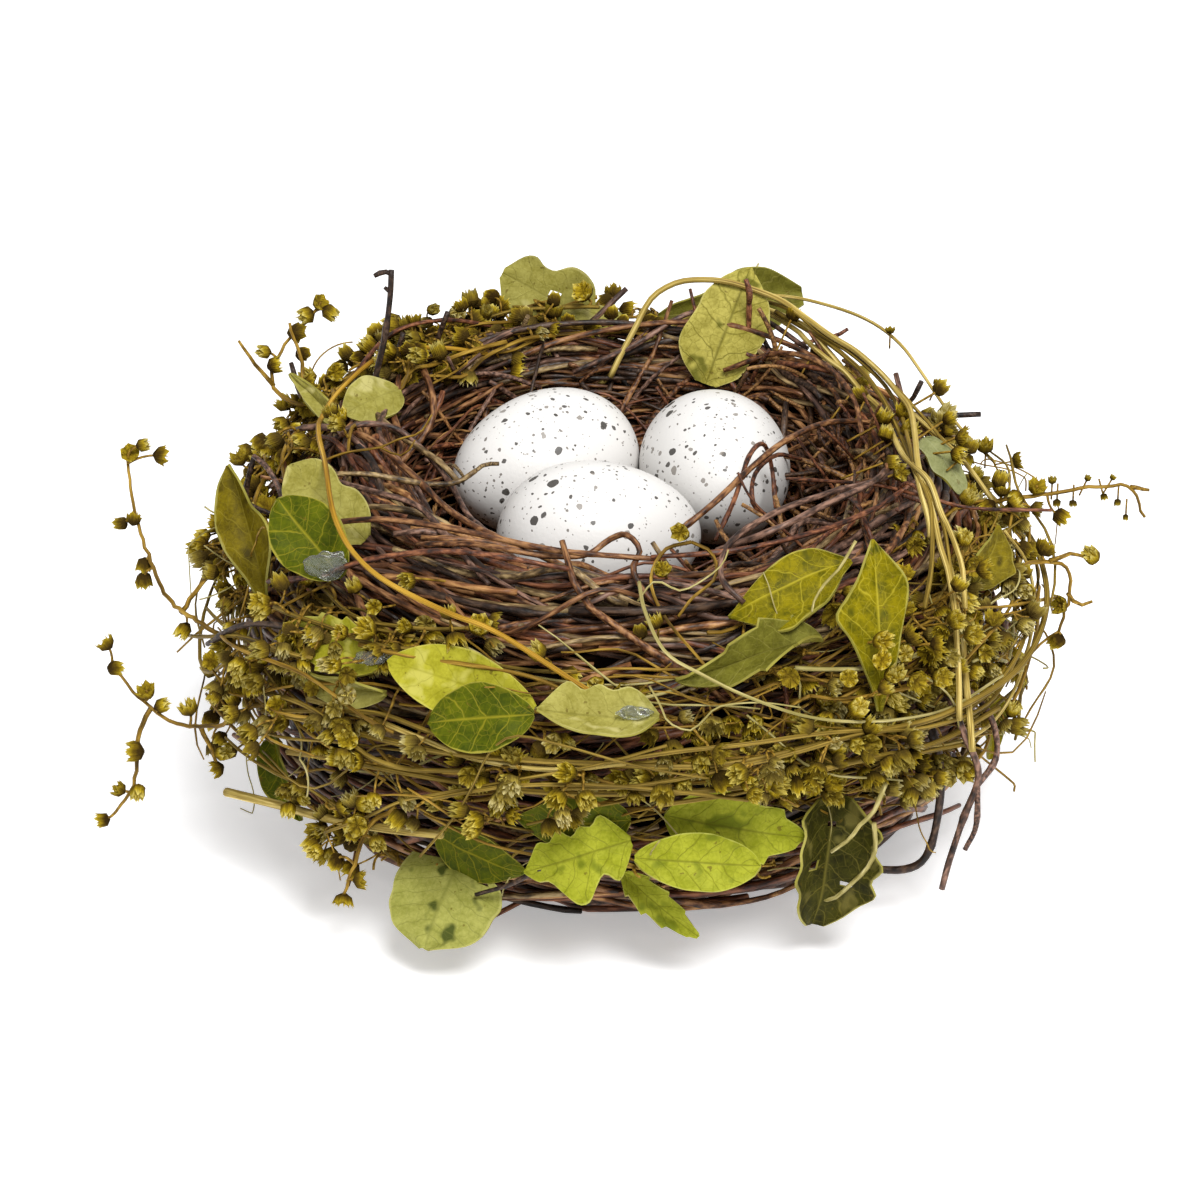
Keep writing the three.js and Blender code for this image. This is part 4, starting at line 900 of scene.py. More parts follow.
# base and tip in mm; left and right are half widths from base to tip; a hole is (u, v, radius)
leaves = {
    "leftPaleLeaf": {"node": "leaf_left_pale", "base": (-39, -29, 56.5), "tip": (-51, -21, 65.2), "width": 9,
        "facing": (-0.2, -0.8, 0.6), "look": "pale", "fold": 0.05,
        "left": (1.0, 3.2, 4.2, 4.7, 4.9, 4.8, 4.4, 3.4, 0.4),
        "right": (1.0, 3.4, 4.4, 4.6, 3.6, 4.3, 4.4, 3.4, 0.4)},
    "leftDarkLeaf": {"node": "leaf_left_dark", "base": (-42, -38, 54.5), "tip": (-51.8, -32.5, 64.8),
        "width": 11.5, "facing": (-0.3, -0.8, 0.55), "look": "dark", "widest": 1.05, "fullness": 0.62},
    "farLeftLeaf": {"node": "leaf_far_left", "base": (-55, -24, 43.5), "tip": (-61, -13, 62), "width": 15,
        "facing": (-0.35, -0.85, 0.2), "look": "brown", "arch": -1.2, "fold": 0.5, "curl": 1.1,
        "left": (0.6, 1.2, 1.8, 2.6, 3.4, 3.6, 3.2, 2.6, 1.8, 0.4),
        "right": (0.6, 2.2, 4.6, 6.4, 7.2, 6.0, 3.2, 2.2, 1.6, 0.4)},
    "rimLeftLeaf": {"node": "leaf_rim_left", "base": (-36, 17.4, 62.2), "tip": (-44.4, 8.4, 61.6), "width": 8.6,
        "facing": (0.2, -0.6, 0.8), "look": "pale", "fold": 0.05, "widest": 1.0, "fullness": 0.6},
    "narrowRimLeaf": {"node": "leaf_rim_narrow", "base": (-44.5, 10, 58.4), "tip": (-53.6, 19, 64.4),
        "width": 3.4, "facing": (-0.4, -0.7, 0.6), "look": "pale", "arch": -0.8, "fold": 0.8},
    "lobedBackLeaf": {"node": "leaf_back_lobed", "base": (-5, 51, 61.5), "tip": (-20, 53, 69.4), "width": 12,
        "facing": (0, -0.95, 0.3), "look": "pale", "left": (1.0, 4.6, 5.6, 5.8, 5.4, 6.0, 6.4, 5.4, 3.8, 1.0),
        "right": (1.0, 4.8, 6.4, 6.8, 6.4, 4.6, 4.4, 5.2, 4.0, 1.0), "holes": [(0.1, 0.45, 0.16)]},
    "lowBackLeaf": {"node": "leaf_back_low", "base": (1, 48, 62.5), "tip": (-18, 49.5, 58), "width": 8,
        "facing": (0, -0.8, 0.6), "look": "pale"},
    "tallBackLeaf": {"node": "leaf_back_tall", "base": (14.1, 33.5, 56.9), "tip": (21.7, 44.5, 73.3),
        "width": 13.4, "facing": (-0.1, -0.9, 0.4), "look": "veined", "arch": 1.5, "fold": 0.06,
        "left": (1.8, 5.0, 6.6, 6.8, 6.2, 5.8, 5.6, 4.6, 3.0, 0.3),
        "right": (1.8, 4.6, 5.6, 6.0, 6.6, 6.8, 6.0, 4.8, 2.8, 0.3)},
    "toothedBackLeaf": {"node": "leaf_back_toothed", "base": (6.5, 53, 61.4), "tip": (31, 54, 64.8),
        "width": 11, "facing": (0, -0.95, 0.3), "look": "dull", "curl": 0.3,
        "left": (0.6, 1.8, 2.4, 3.0, 4.4, 6.0, 6.4, 5.8, 3.8, 1.6),
        "right": (1.0, 2.4, 3.4, 4.2, 4.6, 5.4, 4.6, 4.8, 2.8, 1.4)},
    "ovalRightLeaf": {"node": "leaf_right_oval", "base": (47.6, -1, 61.5), "tip": (53.4, -8, 55), "width": 5.6,
        "facing": (0.5, -0.75, 0.45), "look": "grey", "fold": -0.1, "fullness": 0.5},
    "darkRightLeaf": {"node": "leaf_right_dark", "base": (53.4, -27, 47.2), "tip": (57.7, -20, 54.8),
        "width": 8, "facing": (0.5, -0.85, 0.1), "look": "brown", "fold": 0.3,
        "left": (0.4, 2.0, 3.0, 3.2, 2.8, 2.4, 1.6, 0.6, 0.2),
        "right": (0.4, 2.2, 3.0, 3.8, 4.6, 3.6, 3.2, 1.8, 0.2)},
    "tallFrontLeaf": {"node": "leaf_front_right_tall", "base": (37.4, -58, 42), "tip": (36.4, -47.5, 64.8),
        "width": 12.5, "facing": (0.2, -0.85, 0.4), "look": "olive", "arch": 1.2, "fold": 0.25, "curl": 0.4,
        "left": (0.4, 1.2, 2.3, 3.6, 5.2, 7.2, 5.2, 3.0, 1.6, 0.1),
        "right": (0.4, 1.1, 1.9, 2.6, 3.0, 3.6, 4.2, 3.9, 2.2, 0.1)},
    "wideFrontLeaf": {"node": "leaf_front_right_wide", "base": (33.5, -45, 60.2), "tip": (15.4, -50.7, 53.8),
        "width": 11, "facing": (0, -0.65, 0.75), "look": "olive", "arch": 1.8, "fold": 0.14, "curl": 0.3,
        "right": (0.3, 1.8, 3.4, 4.0, 3.9, 3.4, 2.8, 2.0, 1.0, 0.1),
        "left": (0.3, 2.0, 4.0, 5.4, 6.0, 6.5, 7.4, 6.4, 3.2, 0.1)},
    "curledFrontLeaf": {"node": "leaf_front_right_curled", "base": (29, -54.6, 51.8), "tip": (7.4, -61.6, 49),
        "width": 6.6, "facing": (0.1, -0.6, 0.8), "look": "dull", "fold": 0.9, "twist": 1.8, "teeth": (4, 0.3),
        "curl": 0.5},
    "limeFrontLeaf": {"node": "leaf_front_left_lime", "base": (-13, -63.6, 45.2), "tip": (-34.6, -54.4, 48.4),
        "width": 10.5, "facing": (-0.3, -0.75, 0.6), "look": "lime", "arch": 1.5, "widest": 1.05,
        "fullness": 0.7},
    "darkFrontLeaf": {"node": "leaf_front_left_dark", "base": (-13, -67, 46), "tip": (-28.4, -63, 42.6),
        "width": 10.6, "facing": (-0.25, -0.85, 0.5), "look": "dark", "arch": 1.2, "widest": 1.0,
        "fullness": 0.66},
    "boatFrontLeaf": {"node": "leaf_front_boat", "base": (5, -67, 45.5), "tip": (-12.6, -67.5, 47),
        "width": 8.4, "facing": (0, -0.5, 0.85), "look": "pale", "arch": -0.9, "fold": 0.5,
        "holes": [(0.2, 0.14, 0.1)], "right": (0.6, 3.0, 4.0, 3.5, 4.4, 3.4, 4.2, 2.6, 0.3),
        "left": (0.6, 3.2, 4.4, 4.8, 4.6, 4.2, 3.2, 2.0, 0.3)},
    "leftEdgeLeaf": {"node": "leaf_left_edge", "base": (-36, -52, 46.4), "tip": (-50.4, -38.4, 46.6),
        "width": 8.6, "facing": (-0.5, -0.6, 0.6), "look": "lime", "fold": 0.2, "teeth": (4, 0.22)},
    "darkLowLeaf": {"node": "leaf_low_dark", "base": (1, -63.5, 27), "tip": (-15.5, -61.5, 26), "width": 9.5,
        "facing": (-0.1, -1, 0.1), "look": "dark", "arch": 1.5},
    "tornLowLeaf": {"node": "leaf_low_torn", "base": (1, -65.5, 24.6), "tip": (-14.6, -66, 19.6), "width": 10.4,
        "facing": (-0.1, -0.9, 0.4), "look": "low",
        "right": (0.5, 3.2, 5.0, 3.6, 4.2, 3.0, 4.6, 3.2, 3.6, 1.8, 0.1),
        "left": (1.0, 3.6, 5.2, 3.6, 5.0, 7.0, 6.8, 4.6, 2.4, 2.0, 0.1), "holes": [(-0.2, 0.85, 0.07)]},
    "toothedLowLeaf": {"node": "leaf_low_toothed", "base": (6, -62, 27), "tip": (27, -60.5, 22.4), "width": 11,
        "facing": (0.2, -0.95, 0.2), "look": "low", "arch": 1.5, "teeth": (5, 0.34)},
    "ovalLowLeaf": {"node": "leaf_low_oval", "base": (1.6, -67, 22.4), "tip": (20, -67, 21), "width": 9,
        "facing": (0.1, -0.85, 0.5), "look": "low", "arch": 1.5, "widest": 1.1, "fullness": 0.6},
    "spottedLowLeaf": {"node": "leaf_low_spotted", "base": (-24.4, -56, 15.4), "tip": (-29.6, -65.4, 6.2),
        "width": 18, "facing": (-0.25, -0.6, 0.75), "look": "spotted", "arch": 1.2, "fold": -0.12,
        "right": (8.4, 9.0, 8.8, 8.6, 8.4, 7.4, 5.8, 1.0), "left": (3.6, 7.4, 8.6, 8.8, 8.6, 7.6, 5.6, 1.0),
        "holes": [(-0.62, 0.1, 0.1)]},
    "darkHangingLeaf": {"node": "leaf_low_right", "base": (31, -54, 26.4), "tip": (28.4, -57.4, 6), "width": 13,
        "facing": (0.3, -0.9, 0.2), "look": "deep", "fold": 0.35, "curl": 1.0, "arch": 2.0,
        "right": (2.6, 6.4, 5.6, 6.8, 6.2, 7.0, 5.4, 5.2, 3.8, 1.4),
        "left": (2.4, 4.4, 6.4, 5.4, 6.6, 5.4, 6.4, 4.8, 3.4, 1.4), "holes": [(0.35, 0.5, 0.12),
        (-0.5, 0.62, 0.09), (0.0, 0.22, 0.08)]},
    "pointedLowLeaf": {"base": (0, -61, 16.5), "tip": (11, -65.6, 8.4), "width": 5, "facing": (0, -0.9, 0.3),
        "look": "low", "teeth": (4, 0.3), "fold": 0.3},
    "leftHangingLeaf": {"base": (-54, -30, 24), "tip": (-49.6, -37, 12.6), "width": 6.6,
        "facing": (-0.6, -0.8, 0.1), "look": "dark", "fold": 0.5, "curl": 0.4},
    "rightHangingLeaf": {"base": (56, -24, 30), "tip": (57.4, -26, 17.6), "width": 5.6,
        "facing": (0.7, -0.7, 0.1), "look": "olive", "fold": 0.4},
    "shadowLowLeaf": {"base": (-28, -55, 20), "tip": (-14.6, -60.4, 16.4), "width": 9,
        "facing": (-0.2, -0.9, -0.1), "look": "dark"},
    "underEdgeLeaf": {"base": (-35, -54, 43), "tip": (-48.6, -43.6, 41), "width": 5.4,
        "facing": (-0.5, -0.7, -0.1), "look": "pale", "fold": 0.6},
    "backWallLeaf": {"base": (20, 58, 44), "tip": (34, 53, 36), "width": 10, "facing": (0.3, 0.95, 0.1),
        "look": "lime", "arch": 1.4},
    "backLowLeaf": {"base": (-8, 62, 36), "tip": (-22, 58, 30), "width": 9.6, "facing": (-0.2, 0.95, 0.1),
        "look": "dark", "arch": 1.4},
    "backSideLeaf": {"base": (-46, 42, 44), "tip": (-54, 32, 36), "width": 9, "facing": (-0.7, 0.7, 0.1),
        "look": "olive", "arch": 1.2, "teeth": (5, 0.25)},
    "backRightLeaf": {"base": (50, 36, 42), "tip": (58, 24, 36), "width": 9, "facing": (0.8, 0.6, 0.1),
        "look": "pale", "arch": 1.2},
}
slotNames = {"low": "lime_leaf", "dark": "dark_leaf", "dull": "olive_leaf", "deep": "dark_leaf",
    "olive": "olive_leaf", "lime": "lime_leaf"}
for name, spec in leaves.items():
    nodes = [spec["node"]] if "node" in spec else []
    finishPiece(leafPiece(name, spec), slotNames.get(spec["look"], "pale_leaf"), *nodes)
print("nest: leaves tucked in")


leafRoom = {"gap": 2.2, "behind": 2, "before": 16}     # mm, in depth from a clear leaf


def leafCover(point):
    # how far a point has to go back to lie behind the clear leaf that it would hide, as a vector, or None
    for base, along, across, out, length, half in leafFrames:
        reach = point - base
        depth = reach @ out
        within = -1 < reach @ along < length + 1 and abs(reach @ across) < half
        if within and -leafRoom["behind"] < depth < leafRoom["before"]:
            return -out * (depth + leafRoom["gap"])
    return None


def tuckBehind(path):
    # lets a stem pass behind the clear leaves
    push = np.zeros_like(path)
    for i, point in enumerate(path):
        back = leafCover(point)
        if back is not None:
            push[max(i - 1, 0):i + 2] = back
    for _ in range(2):
        push[1:-1] = (push[:-2] + 2 * push[1:-1] + push[2:]) / 4
    return path + push


clearLeaves = ["limeFrontLeaf", "darkFrontLeaf", "boatFrontLeaf", "wideFrontLeaf", "tallFrontLeaf",
    "tornLowLeaf", "ovalLowLeaf", "toothedLowLeaf", "spottedLowLeaf", "leftDarkLeaf", "leftPaleLeaf",
    "farLeftLeaf", "darkHangingLeaf", "tallBackLeaf", "rimLeftLeaf", "narrowRimLeaf", "curledFrontLeaf",
    "ovalRightLeaf", "darkRightLeaf"]
leafFrames = []
for name in clearLeaves:
    base, tip = np.array(leaves[name]["base"], float), np.array(leaves[name]["tip"], float)
    length = np.linalg.norm(tip - base)
    along = (tip - base) / length
    across = unit(np.cross(along, leaves[name]["facing"]))
    leafFrames.append((base, along, across, np.cross(across, along), length, leaves[name]["width"] / 2 + 0.5))


# thin stems that cross in the band, most of them ochre
bandStems = {
    "count": 110,
    "around": (-170, -14),
    "share": (0.46, 0.8),
    "sweep": (12, 44),
    "slant": 0.22,
    "lift": (4.0, 11.0),
    "radius": (0.14, 0.32),
    "wander": 2.6,
    "step": 2.2,
    "chance": [0.66, 0.24, 0.1],
}
# stems and tendrils seen one by one: finish number, radius and corners
singleStems = [
    (2, 0.26, [(33.8, -49.5, 65.5), (32.5, -50.5, 63.5), (31.2, -51.5, 61.7), (29.2, -53.2, 60.3),
        (27.6, -55.4, 58.6), (27.2, -56.6, 57.4)]),
    (2, 0.42, [(38.8, -57.5, 30), (36.8, -60, 26.2), (35.1, -61, 25.1), (33.3, -61.5, 22.6),
        (30.7, -61, 20.2)]),
    (2, 0.42, [(37, -60, 24.5), (37.3, -60, 20.1), (36.2, -60, 16.9), (34.1, -59.6, 14.2), (31.4, -58.6, 10.9),
        (29.2, -57.6, 10.3)]),
    (2, 0.3, [(2.2, -52, 60), (3, -60, 59), (5.8, -67, 56), (10.8, -68, 53), (17.3, -67, 49),
        (25.5, -64.4, 44.6), (33, -61.4, 42), (40.8, -56.6, 40), (48.8, -49.4, 38.4), (57.5, -38, 38)]),
    (2, 0.17, [(3.6, -66, 50), (5.1, -68.6, 48.4), (6.3, -69, 45.8), (9.4, -69, 44.4), (11.7, -68.4, 46.2),
        (13.7, -68, 47.8), (19.5, -66.4, 47.6), (25.5, -64, 45.6)]),
    (2, 0.17, [(2, -55, 58.4), (4.5, -56, 62), (8, -57, 61), (11, -57, 62.4), (14, -57, 65), (15, -56, 67)]),
    (2, 0.36, [(24.8, -60, 50), (30.1, -58, 48.8), (36.2, -54.6, 47.4), (42.5, -50, 47), (49, -43.6, 45.6),
        (55.1, -35, 44.4), (60.5, -24, 42)]),
    (2, 0.2, [(24.8, -60, 50), (25.7, -59.6, 46.4), (25.4, -59.6, 43.6), (27.5, -58.6, 41.7)]),
    (2, 0.2, [(40.5, -54, 43), (45.8, -50, 38.8), (49.1, -46.6, 36), (51, -44, 32)]),
    (0, 0.4, [(-39, -50, 49), (-31.4, -55.4, 49.6), (-22.4, -59.4, 50.2), (-13.6, -62, 49.6), (-7.8, -63, 47.4),
        (-2, -63.6, 45)]),
    (0, 0.22, [(-46.1, -12, 62.4), (-43, -12, 63.6), (-37.5, -12, 64.6), (-34.4, -12, 66), (-31.3, -12, 67),
        (-29.4, -12, 70)]),
    (0, 0.2, [(-37.5, -12, 64.6), (-34.8, -13, 63.6), (-33, -14, 64.8), (-32, -14, 66.6)]),
    (2, 0.2, [(40, -58, 47), (44, -55, 46), (47.4, -52, 42.4), (49.4, -49, 38), (50.4, -47.4, 33)]),
]
rng = np.random.default_rng(seeds["band"])
stems = [coilStem(rng, bandStems) for _ in range(bandStems["count"])]
stems = [(tuckBehind(path), radii, tone) for path, radii, tone in stems]
for tone, radius, corners in singleStems:
    path = smoothPath(corners, 1.3)
    stems.append((path, radius * np.linspace(1, 0.7, len(path)), tone))
finishPiece(stemPiece("bandStems", stems, [stalkFinish, strawOlive, tendrilFinish]), "straw")
print("nest: band stems wound")


# flower heads
def modelHead(name, rings, tooth, florets):
    # a round cup of bracts with six teeth at its mouth, and florets inside: base at the origin, opening along +Z
    bpy.ops.object.select_all(action="DESELECT")
    bpy.ops.mesh.primitive_circle_add(vertices=12, radius=rings[0][0] * mm, fill_type="NGON")
    head = nameNew(name)
    bpy.ops.object.mode_set(mode="EDIT")
    bpy.ops.mesh.select_all(action="SELECT")
    for (radius, height), (nextRadius, nextHeight) in zip(rings, rings[1:]):
        bpy.ops.mesh.extrude_region_move(TRANSFORM_OT_translate={"value": (0, 0, (nextHeight - height) * mm)})
        scale = nextRadius / radius
        bpy.ops.transform.resize(value=(scale, scale, 1), center_override=(0, 0, 0))
    bpy.ops.mesh.merge(type="CENTER")
    bpy.ops.mesh.select_all(action="SELECT")
    bpy.ops.mesh.normals_make_consistent(inside=False)
    bpy.ops.object.mode_set(mode="OBJECT")
    for vertex in head.data.vertices:
        if abs(vertex.co.z / mm - rings[2][1]) < 0.05:
            turn = round(math.atan2(vertex.co.y, vertex.co.x) / math.radians(30))
            if turn % 2:
                vertex.co = Vector((vertex.co.x * tooth[0], vertex.co.y * tooth[0], tooth[1] * mm))
    parts = [head]
    count, ring, rise, length, width, lean = florets
    for i in range(count):
        bpy.ops.mesh.primitive_cone_add(vertices=3, radius1=width * mm, radius2=0, depth=length * mm)
        petal = bpy.context.object
        tilt = lean * (1 + 0.3 * math.sin(7 * i + count))
        petal.data.transform(Matrix.Rotation(2 * math.pi * i / count, 4, "Z")
                             @ Matrix.Translation((ring * mm, 0, rise * mm)) @ Matrix.Rotation(tilt, 4, "Y")
                             @ Matrix.Translation((0, 0, length * mm / 2)) @ Matrix.Scale(0.55, 4, (1, 0, 0)))
        parts.append(petal)
    bpy.ops.object.select_all(action="DESELECT")
    for part in parts:
        part.select_set(True)
    bpy.context.view_layer.objects.active = head
    bpy.ops.object.join()
    return head


# rings of (radius, height), the third being the mouth; (reach, height) of its teeth; then the florets
headShapes = [
    ("headOpen", [(0.3, 0), (1.35, 0.7), (1.5, 1.7), (0.9, 1.3)], (1.1, 2.55), (10, 0.95, 1.0, 1.85, 0.45, 0.18)),
    ("headBud", [(0.3, 0), (1.3, 0.8), (1.35, 1.9), (0.75, 1.9)], (0.9, 2.9), (8, 0.6, 1.4, 1.7, 0.45, 0.05)),
    ("headWide", [(0.3, 0), (1.35, 0.7), (1.6, 1.5), (1.0, 1.1)], (1.15, 2.2), (11, 1.0, 0.8, 1.85, 0.45, 0.42)),
]
headHeight = 2.8     # mm, for the map that colours the heads from base to tip
headChance = [0.42, 0.36, 0.22]     # shares of the three shapes
forkChance = [0.3, 0.32, 0.26, 0.12]     # of one to four heads on a stalk
headParts = []
for name, rings, tooth, florets in headShapes:
    head = modelHead(name, rings, tooth, florets)
    vertices = np.empty(len(head.data.vertices) * 3)
    head.data.vertices.foreach_get("co", vertices)
    vertices = vertices.reshape(-1, 3)
    headParts.append((vertices, [list(face.vertices) for face in head.data.polygons]))
    bpy.data.objects.remove(head)


def scatterHeads(name, places, finish, slotName, nodes=(), *, seed):
    # each head is its own copy of the mesh: (place in mm, direction, size, tone)
    rng = np.random.default_rng(seed)
    points, faces, maps, tones, start = [], [], [], [], 0
    for place, heading, size, tone, *_ in places:
        vertices, polygons = headParts[int(rng.choice(3, p=headChance))]
        turn = Vector(heading).to_track_quat("Z", "X").to_matrix() @ Matrix.Rotation(rng.uniform(0, 6.28), 3, "Z")
        squash = np.array([size * rng.uniform(0.88, 1.12), size * rng.uniform(0.88, 1.12), size])
        ragged = vertices * (1 + rng.normal(0, 0.06, vertices.shape))
        points.append((ragged * squash) @ np.array(turn).T + np.array(place) * mm)
        height = np.clip(vertices[:, 2] / (headHeight * mm), 0, 1)
        around = np.degrees(np.arctan2(vertices[:, 1], vertices[:, 0])) / 60 + 6
        for polygon in polygons:
            faces.append([start + i for i in polygon])
            turns = around[polygon]
            turns = np.where(turns < turns.max() - 3, turns + 6, turns)     # the map doesn't jump back
            maps.extend(zip(turns + 0.5, height[polygon]))
        tones.extend([tone] * len(vertices))
        start += len(vertices)
    mesh = bpy.data.meshes.new(name)
    mesh.from_pydata(np.vstack(points).tolist(), [], faces)
    mesh.uv_layers.new(name="UVMap").data.foreach_set("uv", np.array(maps, float).ravel())
    mesh.attributes.new("tone", "FLOAT", "POINT").data.foreach_set("value", np.array(tones, float))
    mesh.materials.append(finish)
    piece = bpy.data.objects.new(name, mesh)
    bpy.context.collection.objects.link(piece)
    selectOnly(piece)
    bpy.ops.object.shade_smooth_by_angle(angle=math.radians(50))
    finishPiece(piece, slotName, *nodes)


def growStalk(rng, base, heading, length, sag=0.25):
    # a short stalk that leaves its stem along it and then turns out
    heading = unit(heading)
    bend = np.cross(heading, rng.normal(size=3)) * rng.uniform(0.1, 0.4)
    t = np.linspace(0, 1, 7)[:, None]
    path = np.array(base) + heading * length * t + bend * length * t * (1 - t) * 2
    path[:, 2] -= sag * length * t[:, 0] ** 2
    return path, unit(path[-1] - path[-2])


def growCluster(rng, base, heading, stems, places, spec):
    # a stalk that forks into one to four heads
    stalk, end = growStalk(rng, base, heading, rng.uniform(*spec["stalk"]))
    stems.append((stalk, np.linspace(0.27, 0.22, len(stalk)), 0))
    for _ in range(rng.choice([1, 2, 3, 4], p=forkChance)):
        twig, tip = growStalk(rng, stalk[-1], end + rng.normal(0, 0.75, 3), rng.uniform(1.5, spec["stalk"][1]))
        if twig[-1][2] < spec["lowest"] or any(leafCover(point) is not None for point in twig[::2]):
            continue
        stems.append((twig, np.linspace(0.2, 0.16, len(twig)), 0))
        facing = tip + np.array(heading) * 0.3 + rng.normal(0, 0.35, 3)
        places.append((twig[-1] - tip * 0.3, facing, rng.uniform(0.76, 1.12), rng.random() ** 1.3,
                       rng.random() < spec["grey"]))


# garlands wound on the wall: stalk in mm, lowest height of a head in mm, grey the share of grey heads
garlands = {
    "garlandFrontLeft": {"node": "garland_front_left", "around": (-164, -118), "share": (0.36, 0.86),
        "stems": 16, "clusters": 92, "lift": (3.5, 9.0), "stalk": (1.5, 4.5), "lowest": 13, "finish": 0,
        "grey": 0.3},
    "garlandFront": {"node": "garland_front", "around": (-122, -70), "share": (0.44, 0.8), "stems": 18,
        "clusters": 120, "lift": (4.0, 11.0), "stalk": (1.5, 4.2), "lowest": 22, "finish": 1, "grey": 0.25},
    "garlandFrontRight": {"node": "garland_front_right", "around": (-74, -26), "share": (0.42, 0.88),
        "stems": 16, "clusters": 104, "lift": (3.0, 8.0), "stalk": (1.2, 3.6), "lowest": 22, "finish": 0,
        "grey": 0.4},
    "garlandRight": {"node": "garland_right", "around": (-28, 24), "share": (0.5, 0.94), "stems": 11,
        "clusters": 46, "lift": (0.2, 2.4), "stalk": (0.6, 1.8), "lowest": 20, "finish": 0, "grey": 0.35},
    "garlandBackRight": {"node": "garland_back_right", "around": (24, 78), "share": (0.4, 0.84), "stems": 10,
        "clusters": 48, "lift": (0.4, 3.0), "stalk": (0.8, 2.4), "lowest": 18, "finish": 0, "grey": 0.3},
    "garlandBackLeft": {"node": "garland_back_left", "around": (84, 156), "share": (0.84, 1.14), "stems": 24,
        "clusters": 136, "lift": (2.2, 7.2), "stalk": (1.2, 3.6), "lowest": 20, "finish": 0, "grey": 0.12},
    "garlandLeft": {"node": "garland_left", "around": (140, 200), "share": (0.5, 1.02), "stems": 14,
        "clusters": 72, "lift": (1.0, 5.6), "stalk": (1.5, 4.2), "lowest": 18, "finish": 0, "grey": 0.2},
}
garlandStems = {"sweep": (18, 50), "reach": 60, "step": 2, "radius": (0.24, 0.46), "olive": 0.3}
rng = np.random.default_rng(seeds["garlands"])
for name, spec in garlands.items():
    stems, places = [], []
    low, high = spec["around"]
    for i in range(spec["stems"]):
        start = rng.uniform(low - 4, high - 8)
        sweep = rng.uniform(*garlandStems["sweep"])
        length = math.radians(sweep) * garlandStems["reach"]
        travel = np.linspace(0, length, max(8, int(length / garlandStems["step"])))
        share = rng.uniform(*spec["share"]) + drift(rng, travel, 0.035, 12)
        lift = rng.uniform(*spec["lift"]) + drift(rng, travel, 0.9, 10)
        path = tuckBehind(wallPoints(start + sweep * travel / length, share, lift))
        radii = rng.uniform(*garlandStems["radius"]) * np.linspace(1, 0.7, len(path))
        stems.append((path, radii, int(rng.random() < garlandStems["olive"])))
    mains = [path for path, _, _ in stems]
    for _ in range(spec["clusters"]):
        path = mains[rng.integers(0, len(mains))]
        at = rng.integers(1, len(path) - 1)
        tangent = unit(path[at + 1] - path[at - 1])
        outward = path[at] * [1, 1, 0] / np.linalg.norm(path[at][:2]) + [0, 0, 0.4]
        heading = (tangent * rng.choice([-1, 1]) * rng.uniform(0.1, 0.8) + outward * rng.uniform(0.3, 1.0)
                   + np.array([0, 0, rng.normal(0, 0.5)]))
        growCluster(rng, path[at], heading, stems, places, spec)
    finishPiece(stemPiece(name + "Stems", stems, [stalkFinish, strawOlive], sides=4), "straw")
    scatterHeads(name, [place for place in places if not place[4]], flowerFinishes[spec["finish"]], "flower",
                 [spec["node"]], seed=3)
    scatterHeads(name + "Grey", [place for place in places if place[4]], flowerFinishes[2], "flower", seed=5)
print("nest: garlands wound")

